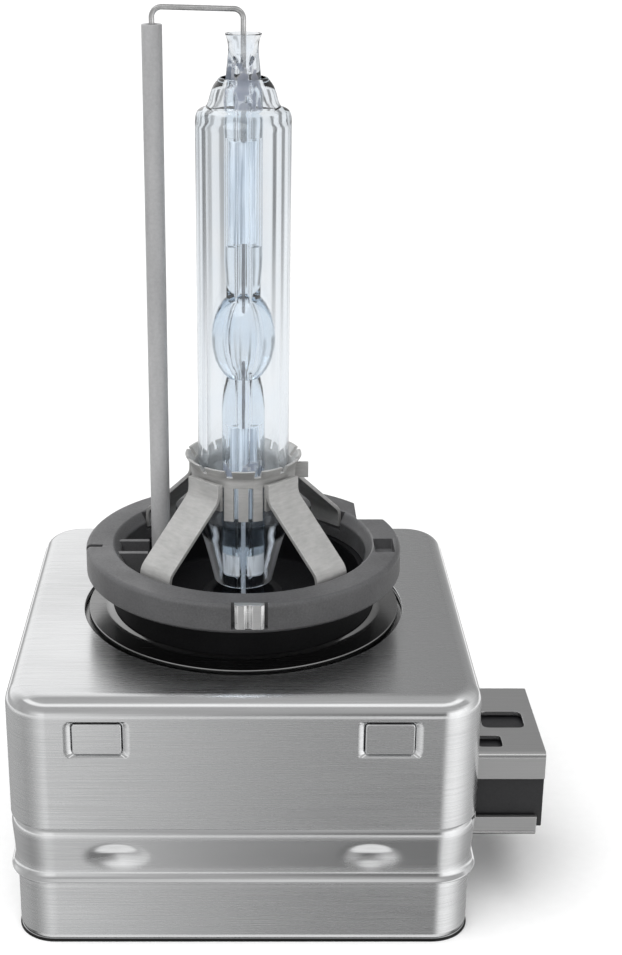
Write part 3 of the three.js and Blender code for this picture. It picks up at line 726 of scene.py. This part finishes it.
def build_upper_can(material):
    bend = BOX_HEIGHT - CAN_TOP_EDGE
    inside = arc((CAN_TOP_EDGE, bend), CAN_TOP_EDGE - CAN_SHEET, 90, 180, 10)
    lower_edge = [(CAN_SHEET, SEAM_Z), (0.12, SEAM_Z), (0.03, SEAM_Z + 0.04), (0.0, SEAM_Z + 0.15)]
    profile = inside + lower_edge + can_fold()
    can = lofted("upper_can_skin", [box_ring(inset, z) for inset, z in profile])
    hole = arc((0, 0), CAN_HOLE_RADIUS, 0, 360, 128)[:-1]
    cut(can, prism("hole", hole, BOX_HEIGHT - 3, BOX_HEIGHT + 1))
    cut(can, *(window_tool(x, side) for x in (-LATCH_X, LATCH_X) for side in (-1, 1)))
    cut(can, connector_opening())
    soften(can, 0.1, 3, 32)
    return finish_piece(can, material, "can_steel", "upper_can")


def latch_tongue(x, side):
    """Springy tongue behind a window, with a pad that stands in it with a narrow gap round it."""
    wall = BOX_DEPTH / 2 - LOWER_SHEET
    front = BOX_DEPTH / 2 - CAN_SHEET - 0.12
    half = TONGUE_WIDTH / 2
    outline = [
        (wall - 0.9, SEAM_Z - 2),
        (wall - 0.1, SEAM_Z - 2),
        (wall - 0.1, SEAM_Z),
        (front, SEAM_Z + 0.6),
        (front, WINDOW_Z[1] + 0.6),
        (front - 0.5, WINDOW_Z[1] + 0.6),
        (front - 0.5, SEAM_Z + 0.6),
    ]
    tongue = prism("tongue", [(side * y, z) for y, z in outline], x - half, x + half, "yzx")
    pad_x = (x - PAD_WIDTH / 2, x + PAD_WIDTH / 2)
    pad_y = sorted((side * (front - 0.3), side * (BOX_DEPTH / 2 - 0.1)))
    pad_z = (WINDOW_Z[0] + 0.32, WINDOW_Z[1] - 0.32)
    pad = rounded_block("pad", pad_x, pad_y, pad_z, 0.35, "y")
    join(tongue, pad)
    return tongue


def press_dimples(can):
    """Presses soft round-edged dimples into the front and back walls of the lower can."""
    for vertex in can.data.vertices:
        spot = vertex.co
        if abs(spot.y) < BOX_DEPTH / 2 - 0.3:
            continue
        across = (abs(spot.x) - DENT_X) / DENT_HALF[0]
        up = (spot.z - DENT_Z) / DENT_HALF[1]
        away = across**2 + up**2
        if away < 1:
            spot.y -= math.copysign(DENT_DEPTH * (1 - away) ** 2, spot.y)


def build_lower_can(material):
    inside = [
        (LOWER_STEP + 1.2, LOWER_SHEET),
        (LOWER_STEP + LOWER_SHEET, 1.3),
        (LOWER_STEP + LOWER_SHEET, LOWER_BEAD_Z - 0.9),
        (LOWER_SHEET + 0.5, LOWER_BEAD_Z),
        (LOWER_SHEET + 0.5, SEAM_Z + 0.9),
        (LOWER_SHEET + 0.02, SEAM_Z + 0.9),
        (LOWER_SHEET + 0.02, SEAM_Z - 0.05),
    ]
    rim = [
        (0.36, SEAM_Z - 0.05),
        (0.31, SEAM_Z - 0.08),
        (0.235, SEAM_Z - 0.22),
        (0.165, SEAM_Z - 0.38),
        (0.125, SEAM_Z - 0.5),
        (0.09, SEAM_Z - 0.68),
        (0.06, SEAM_Z - 0.88),
    ]
    wall = [(0.055 + 0.0185 * k, 11.5 - 0.25 * k) for k in range(13)]
    bead = [
        (0.292, 8.2),
        (0.285, 7.9),
        (0.265, 7.75),
        (0.21, 7.55),
        (0.15, 7.4),
        (0.11, 7.31),
        (0.085, 7.27),
        (0.027, 7.19),
        (-0.031, 7.11),
        (-0.089, 7.03),
        (-0.14, 6.96),
        (-0.15, 6.88),
        (-0.12, 6.82),
        (0.0, 6.77),
        (0.30, 6.7),
        (0.47, 6.58),
        (0.49, 6.45),
        (LOWER_STEP, 6.2),
        (LOWER_STEP, 5.8),
    ]
    foot = [
        (LOWER_STEP, 2.0),
        (LOWER_STEP, 0.8),
        (LOWER_STEP + 0.01, 0.75),
        (LOWER_STEP + 0.055, 0.52),
        (LOWER_STEP + 0.10, 0.29),
        (LOWER_STEP - 0.07, FOOT_SEAM - 0.07),
        (LOWER_STEP - 0.08, 0.03),
        (LOWER_STEP, 0.0),
    ]
    profile = inside + rim + wall + bead + foot
    can = lofted("lower_can_skin", [box_ring(inset, z, 84) for inset, z in profile])
    press_dimples(can)
    cut(can, connector_opening())
    for side in (-1, 1):
        join(can, *(soften(latch_tongue(x, side), 0.1, 3, 50) for x in (-LATCH_X, LATCH_X)))
    return finish_piece(can, material, "can_steel", "lower_can", sharp=50)


# ---- plastic base ----------------------------------------------------------------------------


def strap_pocket(azimuth):
    outer = STRAP_LINE[3][0] + STRAP_SHEET / 2 + FIT
    half = STRAP_WIDTH / 2 + FIT
    tool = block("pocket", (BOWL_RADIUS - 1, outer), (-half, half), (STRAP_LINE[3][1] - FIT, RING_TOP + 1))
    return spin(tool, azimuth)


def build_ring(material):
    edge = 0.3
    profile = rounded([
        (BOWL_RADIUS, RING_BOTTOM, 0.1),
        (RING_RADIUS - edge, RING_BOTTOM, 0.12),
        (RING_RADIUS, RING_BOTTOM + edge, 0.12),
        (RING_RADIUS, RING_TOP - edge, 0.15),
        (RING_RADIUS - edge, RING_TOP, 0.15),
        (BOWL_RADIUS + 0.75, RING_TOP, 0.15),
        (BOWL_RADIUS, RING_TOP - 0.95, 0.2),
    ], 3)
    ring = turned("reference_ring_skin", profile, 180)
    above = RING_TOP + 1
    for y in RIB_Y:
        rib = ((-BOWL_RADIUS - 0.6, ROD_X - ROD_RADIUS - FIT), (y - 0.3, y + 0.3), (30.4, 32.4))
        join(ring, block("rib", *rib))
    cut(
        ring,
        rounded_block("key", *RING_KEY, (RING_BOTTOM - 1, above), 0.3),
        rounded_block("pocket", *RING_POCKET, (RING_TOP - 1.1, above), 0.15),
        block("slit", *RING_SLIT, (RING_TOP - 1.0, above)),
        block("clip", (TAB_X - 1.7, TAB_X + 1.7), (-17, TAB_BACK), (RING_BOTTOM + 0.5, above)),
    )
    cut(ring, *(strap_pocket(azimuth) for azimuth in STRAPS.values()))
    soften(ring, 0.07, 2, 40)
    return finish_piece(ring, material, "ring_plastic", "reference_ring")


def build_tab(material):
    half = 1.42
    face = -15.78
    outline = rounded([
        (-half, TAB_BACK, 0.0), (-half, face + 0.2, 0.1), (-half + 0.3, face, 0.1), (-0.45, face, 0.1),
        (-0.3, face + 0.14, 0.08), (0.1, face + 0.14, 0.08), (0.25, face, 0.1), (half - 0.3, face, 0.1),
        (half, face + 0.2, 0.1), (half, TAB_BACK, 0.0),
    ], 4)
    placed = [(x + TAB_X, y) for x, y in outline]
    tab = prism("ring_tab_skin", placed, RING_BOTTOM + 0.5, RING_TOP)
    soften(tab, 0.07, 2)
    return finish_piece(tab, material, "shield_steel", "ring_tab")


def build_neck(material):
    profile = rounded([
        (4.4, 22.0, 0.1),
        (5.7, 22.0, 0.1),
        (5.7, LID_TOP, 0.0),
        (NECK_RADIUS, LID_TOP, 0.0),
        (NECK_RADIUS, FLANGE_TOP, 0.0),
        (NECK_RADIUS, RING_BOTTOM, 0.0),
        (NECK_RADIUS - 1.5, RING_BOTTOM, 0.0),
        (NECK_RADIUS - 1.5, BOWL_FLOOR, 0.4),
        (4.4, BOWL_FLOOR, 0.15),
    ], 4)
    neck = turned("base_neck_skin", profile, 160)
    hole = [(ROD_X + x, y) for x, y in arc((0, 0), ROD_RADIUS + FIT, 0, 360, 32)[:-1]]
    cut(neck, prism("hole", hole, LID_TOP - 1, BOWL_FLOOR + 1))
    return finish_piece(neck, material, "neck_plastic", "base_neck")


def build_flange(material):
    """Polished collar of the neck, which fills the hole in the can up to a thin gap."""
    profile = rounded([
        (NECK_RADIUS, LID_TOP, 0.0),
        (17.6, LID_TOP, 0.1),
        (17.6, LID_TOP + 0.9, 0.1),
        (FLANGE_RADIUS, LID_TOP + 0.9, 0.0),
        (FLANGE_RADIUS, FLANGE_TOP - 0.12, 0.03),
        (FLANGE_RADIUS - 0.06, FLANGE_TOP - 0.05, 0.02),
        (NECK_RADIUS + 0.5, FLANGE_TOP - 0.05, 0.3),
        (NECK_RADIUS, FLANGE_TOP + 0.4, 0.2),
    ], 5)
    flange = turned("neck_flange", profile, 180)
    return finish_piece(flange, material, "neck_plastic")


def build_cup(material):
    profile = rounded([
        (0.7, 21.3, 0.0),
        (4.1, 21.3, 0.1),
        (4.1, 27.4, 0.2),
        (3.1, 27.4, 0.2),
        (3.1, 25.0, 0.0),
        (0.7, 25.0, 0.0),
    ], 4)
    cup = turned("insulator_cup_skin", profile, 64)
    return finish_piece(cup, material, "neck_plastic", "insulator_cup")


# ---- burner ----------------------------------------------------------------------------------


def build_outer_bulb(material):
    profile = rounded([
        (2.9, 28.8, 0.15),
        (3.45, 31.2, 0.8),
        (4.0, 33.3, 0.8),
        (GLASS_RADIUS, 34.8, 0.8),
        (GLASS_RADIUS, 74.9, 0.5),
        (4.2, 75.5, 0.3),
        (3.45, 75.75, 0.25),
        (3.2, 76.3, 0.3),
        (3.0, 77.1, 0.3),
        (2.75, 77.7, 0.3),
        (2.2, 78.4, 0.12),
        (2.05, 78.4, 0.05),
        (2.1, 77.4, 0.4),
        (2.45, 76.3, 0.4),
        (3.1, 75.1, 0.4),
        (GLASS_BORE, 74.2, 0.4),
        (GLASS_BORE, 35.2, 0.6),
        (3.2, 33.8, 0.6),
        (2.4, 30.0, 0.6),
        (2.35, 28.8, 0.15),
    ], 6)
    bulb = turned("outer_bulb_skin", profile, 128)
    bulb.visible_shadow = False
    return finish_piece(bulb, material, "quartz", "outer_bulb", sharp=60)


def build_arc_tube(material):
    vessel = []
    for k in range(25):
        angle = math.radians(-58 + 116 * k / 24)
        vessel.append((ARC_RADIUS * math.cos(angle), ARC_CENTRE + 4.6 * math.sin(angle), 0.0))
    chamber = []
    for k in range(21):
        angle = math.radians(64 - 128 * k / 20)
        chamber.append((1.35 * math.cos(angle), ARC_CENTRE + 3.6 * math.sin(angle), 0.0))
    profile = rounded([
        (STEM_BORE, 25.6, 0.0),
        (2.1, 25.6, 0.2),
        (2.1, 47.0, 0.8),
        (1.95, 48.6, 0.5),
        *vessel,
        (1.65, 59.6, 0.5),
        (1.8, 61.2, 0.6),
        (1.8, 76.6, 0.8),
        (1.6, 78.6, 0.8),
        (1.36, 80.9, 0.4),
        (1.45, 81.7, 0.3),
        (1.7, 82.3, 0.08),
        (1.4, 82.3, 0.08),
        (1.05, 81.4, 0.3),
        (0.9, 80.4, 0.3),
        (STEM_BORE, 79.4, 0.3),
        *chamber,
    ], 5)
    tube = turned("arc_tube_skin", profile, 96)
    tube.visible_shadow = False
    for z0, z1 in (LOWER_FOIL, UPPER_FOIL):
        cut(tube, block("pocket", (-1.15, 1.15), (-0.36, 0.36), (z0 - FIT, z1 + FIT)))
    return finish_piece(tube, material, "quartz", "arc_tube", sharp=50)


def round_section(radius, sides):
    angles = [2 * math.pi * k / sides for k in range(sides)]
    return [(radius * math.cos(angle), radius * math.sin(angle)) for angle in angles]


def wire(name, line, radius, sides=20):
    """Round wire along [x, z] points in the plane y = 0."""
    rings = []
    for i, (x, z) in enumerate(line):
        before = line[max(i - 1, 0)]
        after = line[min(i + 1, len(line) - 1)]
        along = Vector((after[0] - before[0], after[1] - before[1])).normalized()
        rings.append([(x + along.y * a, b, z - along.x * a) for a, b in round_section(radius, sides)])
    return lofted(name, rings)


def build_return_wire(material):
    bend = 0.9
    over_rod = arc((ROD_X + bend, WIRE_TOP_OVER_ROD - bend), bend, 93, 180, 12)
    over_stem = arc((-bend, WIRE_TOP_OVER_STEM - bend), bend, 0, 87, 12)
    line = [(0.0, UPPER_FOIL[1]), *over_stem, *over_rod, (ROD_X, WIRE_FOOT)]
    made = wire("return_wire_skin", line, WIRE_RADIUS)
    return finish_piece(made, material, "lead_metal", "return_wire", sharp=60)


def build_lower_lead(material):
    made = wire("lower_lead_skin", [(0.0, 21.0), (0.0, 28.0), (0.0, LOWER_FOIL[0])], WIRE_RADIUS)
    return finish_piece(made, material, "lead_metal", "lower_lead_wire", sharp=60)


def build_ceramic_tube(material):
    profile = rounded([
        (ROD_BORE, ROD_Z[0], 0.05),
        (ROD_RADIUS, ROD_Z[0], 0.1),
        (ROD_RADIUS, ROD_Z[1], 0.1),
        (ROD_BORE, ROD_Z[1], 0.05),
    ], 3)
    tube = turned("ceramic_tube_skin", profile, 48)
    tube.data.transform(Matrix.Translation((ROD_X, 0, 0)))
    return finish_piece(tube, material, "ceramic_grey", "ceramic_tube")


# ---- clamp -----------------------------------------------------------------------------------


def standing_plate(radii, width, z, azimuth):
    return spin(block("plate", radii, (-width / 2, width / 2), z), azimuth)


def build_collar(material):
    profile = rounded([
        (COLLAR_BORE, BAND_Z[0], 0.05),
        (COLLAR_BORE + 0.4, BAND_Z[0], 0.08),
        (COLLAR_BORE + 0.4, BAND_Z[1] - 0.1, 0.3),
        (COLLAR_BORE + 1.0, CROWN_TOP, 0.1),
        (COLLAR_BORE + 0.65, CROWN_TOP, 0.1),
        (COLLAR_BORE, BAND_Z[1], 0.3),
    ], 4)
    collar = turned("clamp_collar_skin", profile, 120)
    for k in range(12):
        cut(collar, standing_plate((3, 8), 0.7, (BAND_Z[1] + 0.1, CROWN_TOP + 1), 15 + 30 * k))
    plate = (COLLAR_BORE + 0.03, COLLAR_BORE + 0.38)
    for azimuth in STRAPS.values():
        join(collar, standing_plate(plate, 3.5, (37.9, BAND_Z[0] + 0.3), azimuth))
    for side in (0, 90, 180, 270):
        for turn in (-16, 0, 16):
            join(collar, standing_plate(plate, 0.95, (FINGER_FOOT, BAND_Z[0] + 0.3), side + turn))
    join(collar, block("ear", (COLLAR_BORE + 0.2, 6.4), (-0.25, 0.25), (39.7, 41.2)))
    soften(collar, 0.06, 2)
    return finish_piece(collar, material, "strap_steel", "clamp_collar")


def build_strap(name, azimuth, material):
    bends = rounded([(r, z, 0.7 if 0 < i < 3 else 0.0) for i, (r, z) in enumerate(STRAP_LINE)], 6)
    line = [Vector(p) for p in bends]
    sides = ([], [])
    for i, here in enumerate(line):
        before = line[max(i - 1, 0)]
        after = line[min(i + 1, len(line) - 1)]
        along = (after - before).normalized()
        across = Vector((-along.y, along.x)) * STRAP_SHEET / 2
        sides[0].append(tuple(here + across))
        sides[1].append(tuple(here - across))
    outline = sides[0] + sides[1][::-1]
    strap = prism(name + "_skin", outline, -STRAP_WIDTH / 2, STRAP_WIDTH / 2, "xzy")
    spin(strap, azimuth)
    soften(strap, 0.09, 3, 50)
    return finish_piece(strap, material, "strap_steel", name)


# ---- connector -------------------------------------------------------------------------------


def build_connector_shield(material):
    start = BOX_WIDTH / 2 - 1.0
    end = PLUG_END - 0.07
    shield = rounded_block("connector_shield_skin", (start, end), PLUG_Y, PLUG_Z, 0.6, "x")
    inner_y = (PLUG_Y[0] + PLUG_SHEET, PLUG_Y[1] - PLUG_SHEET)
    inner_z = (PLUG_Z[0] + PLUG_SHEET, PLUG_Z[1] - PLUG_SHEET)
    cut(
        shield,
        rounded_block("inside", (start - 1, end + 1), inner_y, inner_z, 0.3, "x"),
        block("front", (22.5, end + 1), (PLUG_Y[0] - 1, PLUG_Y[0] + 1.5), (9.9, 14.1)),
        block("lip", (28.45, end + 1), (PLUG_Y[0] - 1, PLUG_Y[1] + 1), (PLUG_Z[0] - 1, 9.95)),
        *(rounded_block("slot", x, y, (PLUG_Z[1] - 1, PLUG_Z[1] + 1), r) for x, y, r in SHIELD_SLOTS),
    )
    soften(shield, 0.1, 2)
    return finish_piece(shield, material, "shield_steel", "connector_shield")


def build_connector_housing(material):
    gap = PLUG_SHEET + 0.2
    y = (PLUG_Y[0] + gap, PLUG_Y[1] - gap)
    z = (PLUG_Z[0] + gap, PLUG_Z[1] - gap)
    housing = rounded_block("connector_housing_skin", (CONNECTOR_INNER, PLUG_END), y, z, 0.2, "x")
    cut(housing, rounded_block("cavity", (21.4, PLUG_END + 1), (-12.8, -2.7), (9.7, 15.0), 0.3, "x"))
    half = PIN_SIDE / 2 + 0.15
    for pin in PIN_Y:
        bore = ((CONNECTOR_INNER - 1, 22.5), (pin - half, pin + half), (PIN_Z - half, PIN_Z + half))
        cut(housing, block("bore", *bore))
    soften(housing, 0.12, 2)
    return finish_piece(housing, material, "connector_plastic", "connector_housing")


# ---- studio ----------------------------------------------------------------------------------


def build_floor():
    """Pale paper, seen by the camera and lit, but not mirrored in metal or glass."""
    half = FLOOR_SIZE / 2
    points = [(-half, -half, 0), (half, -half, 0), (half, half, 0), (-half, half, 0)]
    floor = mesh_object("floor", points, [(0, 1, 2, 3)])
    nodes = Surface("floor_paper")
    fibres = nodes.noise(900, 3.0, 0.6)
    colour = nodes.blend(nodes.spread(fibres, 0.0, 1.0), (0.88, 0.88, 0.88), (0.9, 0.9, 0.9))
    nodes.set(Roughness=0.9, Specular_IOR_Level=0.2)
    floor.data.materials.append(nodes.use(Base_Color=colour))
    floor.visible_glossy = False
    floor.visible_transmission = False


def key_light():
    """Broad soft light from high in front, a little to the left."""
    data = bpy.data.lights.new("key", "SUN")
    data.energy = KEY_STRENGTH
    data.angle = math.radians(KEY_SPREAD)
    light = bpy.data.objects.new("key", data)
    light.rotation_euler = Vector(KEY_FROM).to_track_quat("Z", "Y").to_euler()
    light.visible_glossy = False
    bpy.context.scene.collection.objects.link(light)


class Tent(Nodes):
    """The node tree of the studio's surroundings."""

    def panels(self, degrees, stops):
        """Brightness from (degrees, level) stops joined by straight lines."""
        low, high = stops[0][0], stops[-1][0]
        ramp = self.add("ShaderNodeFloatCurve")
        curve = ramp.mapping.curves[0]
        curve.points[0].location = (0.0, stops[0][1] / BRIGHTEST)
        curve.points[1].location = (1.0, stops[-1][1] / BRIGHTEST)
        for angle, level in stops[1:-1]:
            curve.points.new((angle - low) / (high - low), level / BRIGHTEST)
        for point in curve.points:
            point.handle_type = "VECTOR"
        ramp.mapping.update()
        share = self.math("DIVIDE", self.math("SUBTRACT", degrees, low), high - low)
        self.link(share, ramp.inputs["Value"])
        return self.math("MULTIPLY", ramp.outputs[0], BRIGHTEST)

    def step(self, value, low, high):
        """0 below low, 1 above high, and smooth between them."""
        node = self.add("ShaderNodeMapRange", interpolation_type="SMOOTHSTEP")
        node.inputs["From Min"].default_value = low
        node.inputs["From Max"].default_value = high
        self.link(value, node.inputs["Value"])
        return node.outputs["Result"]


def reflected_tent(tent, y, heading, height):
    """What the metal reflects: panels, strip lights and a dim ceiling in front, panels behind."""
    walls = tent.math("MULTIPLY", tent.panels(heading, WALL_PANELS), tent.panels(height, WALL_BY_HEIGHT))
    walls = tent.math("MAXIMUM", walls, tent.panels(height, LOW_STRIPS))
    front = tent.between(tent.step(height, 4, 16), walls, tent.panels(height, FRONT_BY_HEIGHT))
    low_back = tent.between(tent.step(height, -52, -44), 0.05, walls)
    back = tent.between(tent.step(height, -3, 7), low_back, tent.panels(heading, BACK_PANELS))
    back = tent.between(tent.step(height, 52, 70), back, 0.5)
    return tent.between(tent.step(y, -0.12, 0.12), front, back)


def studio_surroundings():
    """A soft tent: white to the camera, nearly even for matt surfaces, in panels for metal and glass."""
    world = bpy.data.worlds.new("studio")
    bpy.context.scene.world = world
    world.use_nodes = True
    tent = Tent(world.node_tree)
    direction = tent.add("ShaderNodeTexCoord")
    parts = tent.add("ShaderNodeSeparateXYZ")
    tent.link(direction.outputs["Generated"], parts.inputs["Vector"])
    x, y, z = parts.outputs
    turn = 180 / math.pi
    heading = tent.math("MULTIPLY", tent.math("ARCTAN2", x, tent.math("MULTIPLY", y, -1.0)), turn)
    height = tent.math("MULTIPLY", tent.math("ARCSINE", z), turn)
    path = tent.add("ShaderNodeLightPath")
    cards = tent.between(tent.step(height, -18, -11), 0.95, tent.panels(heading, GLASS_PANELS))
    sky = tent.math("ADD", tent.math("MULTIPLY", x, SKY_LEAN), DIFFUSE_SKY)
    level = reflected_tent(tent, y, heading, height)
    level = tent.between(path.outputs["Is Transmission Ray"], level, cards)
    level = tent.between(path.outputs["Is Diffuse Ray"], level, sky)
    level = tent.between(path.outputs["Is Camera Ray"], level, 1.0)
    background = tent.tree.nodes["Background"]
    background.inputs["Color"].default_value = (1.0, 1.0, 1.0, 1.0)
    tent.link(level, background.inputs["Strength"])


def build_camera():
    data = bpy.data.cameras.new("camera")
    data.sensor_width = 36.0
    data.lens = CAMERA_LENS
    data.shift_x = CAMERA_SHIFT
    data.clip_start = 0.01
    camera = bpy.data.objects.new("camera", data)
    camera.location = CAMERA_PLACE
    camera.rotation_euler = (math.pi / 2 - CAMERA_PITCH, 0, 0)
    bpy.context.scene.collection.objects.link(camera)
    bpy.context.scene.camera = camera


def light_the_scene():
    studio_surroundings()
    key_light()
    view = bpy.context.scene.view_settings
    view.view_transform = "Standard"
    view.look = "None"


# ---- materials -------------------------------------------------------------------------------

CAN_STEEL = brushed_steel("can_steel", (0.74, 0.745, 0.75), 0.27, 0.8, 0.25)
SHIELD_STEEL = brushed_steel("shield_steel", (0.64, 0.64, 0.64), 0.36, 0.5, 0.2)
STRAP_STEEL = spring_steel("strap_steel", (0.50, 0.498, 0.49), 0.48)
RING_PLASTIC = moulded_plastic("ring_plastic", (0.055, 0.055, 0.057), (0.095, 0.095, 0.098), 0.38)
NECK_PLASTIC = moulded_plastic(
    "neck_plastic", (0.004, 0.004, 0.0045), (0.009, 0.009, 0.010), 0.55, shine=0.12
)
FLANGE_POLISH = brushed_steel("flange_polish", (0.25, 0.25, 0.25), 0.25, 0.2, 0.05)
CONNECTOR_PLASTIC = moulded_plastic("connector_plastic", (0.010, 0.010, 0.011), (0.02, 0.02, 0.022), 0.4)
TRAY_PLASTIC = moulded_plastic("tray_plastic", (0.02, 0.02, 0.022), (0.04, 0.04, 0.043), 0.6)
BOBBIN_PLASTIC = moulded_plastic("bobbin_plastic", (0.52, 0.46, 0.34), (0.66, 0.59, 0.45), 0.5)
CAPACITOR_FILM = moulded_plastic("capacitor_film", (0.52, 0.38, 0.09), (0.70, 0.54, 0.16), 0.25, 0.1)
# The outer quartz gets a painted highlight along the edge of its lower cone.
QUARTZ_OUTER = quartz("quartz_outer", (0.97, 0.985, 1.0), 0.25, painted_rim_highlight, 300.0)
QUARTZ_INNER = quartz("quartz_inner", (0.93, 0.965, 1.0), 0.5, fused_ends, 260.0)
CERAMIC_GREY = fired_ceramic("ceramic_grey", (0.31, 0.31, 0.315), (0.42, 0.42, 0.425), 0.5)
CERAMIC_WHITE = fired_ceramic("ceramic_white", (0.70, 0.68, 0.62), (0.80, 0.78, 0.72), 0.4)
FERRITE = fired_ceramic("ferrite", (0.025, 0.024, 0.022), (0.06, 0.057, 0.052), 0.55)
LEAD_METAL = bright_metal("lead_metal", (0.62, 0.62, 0.62), 0.25)
# A lighter copy of the lead metal, a painted highlight, so that the lower lead shows as a bright line in the
# glass stem.
LEAD_PAINTED_BRIGHT = bright_metal("lead_painted_bright", (0.86, 0.90, 0.95), 0.3, 0.3)
TUNGSTEN = bright_metal("tungsten", (0.32, 0.32, 0.34), 0.35)
MOLYBDENUM = rolled_foil("molybdenum")
PIN_METAL = bright_metal("pin_metal", (0.80, 0.68, 0.40), 0.22)
BUSBAR_METAL = bright_metal("busbar_metal", (0.78, 0.60, 0.30), 0.28)
CAP_METAL = bright_metal("cap_metal", (0.66, 0.66, 0.66), 0.3)
COPPER = wound_copper("copper")

CAD_LOOKS = {
    "lower_foil": MOLYBDENUM,
    "upper_foil": MOLYBDENUM,
    "lower_electrode": TUNGSTEN,
    "upper_electrode": TUNGSTEN,
    "igniter_tray": TRAY_PLASTIC,
    "tray_lid": TRAY_PLASTIC,
    "transformer_core": FERRITE,
    "transformer_bobbin": BOBBIN_PLASTIC,
    "primary_foil": BUSBAR_METAL,
    "high_voltage_contact": BUSBAR_METAL,
    "return_busbar": BUSBAR_METAL,
    "supply_busbar": BUSBAR_METAL,
    "spark_busbar": BUSBAR_METAL,
    "spark_gap_body": CERAMIC_WHITE,
    "ignition_capacitor": CAPACITOR_FILM,
    "filter_capacitor": CAPACITOR_FILM,
    "charging_resistor": CERAMIC_WHITE,
    **{f"secondary_coil_{i}": COPPER for i in (1, 2, 3, 4)},
    **{f"spark_gap_cap_{i}": CAP_METAL for i in (1, 2)},
    **{f"connector_pin_{i}": PIN_METAL for i in (1, 2, 3, 4)},
}

build_camera()
light_the_scene()
build_floor()

build_upper_can(CAN_STEEL)
build_lower_can(CAN_STEEL)
build_ring(RING_PLASTIC)
build_tab(SHIELD_STEEL)
build_neck(NECK_PLASTIC)
build_flange(FLANGE_POLISH)
build_cup(NECK_PLASTIC)
build_outer_bulb(QUARTZ_OUTER)
build_arc_tube(QUARTZ_INNER)
build_return_wire(LEAD_METAL)
build_lower_lead(LEAD_PAINTED_BRIGHT)
build_ceramic_tube(CERAMIC_GREY)
build_collar(STRAP_STEEL)
for strap_name, strap_azimuth in STRAPS.items():
    build_strap(strap_name, strap_azimuth, STRAP_STEEL)
build_connector_shield(SHIELD_STEEL)
build_connector_housing(CONNECTOR_PLASTIC)

for node_name, look in CAD_LOOKS.items():
    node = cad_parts[node_name]
    node.data.materials.clear()
    node.data.materials.append(look)
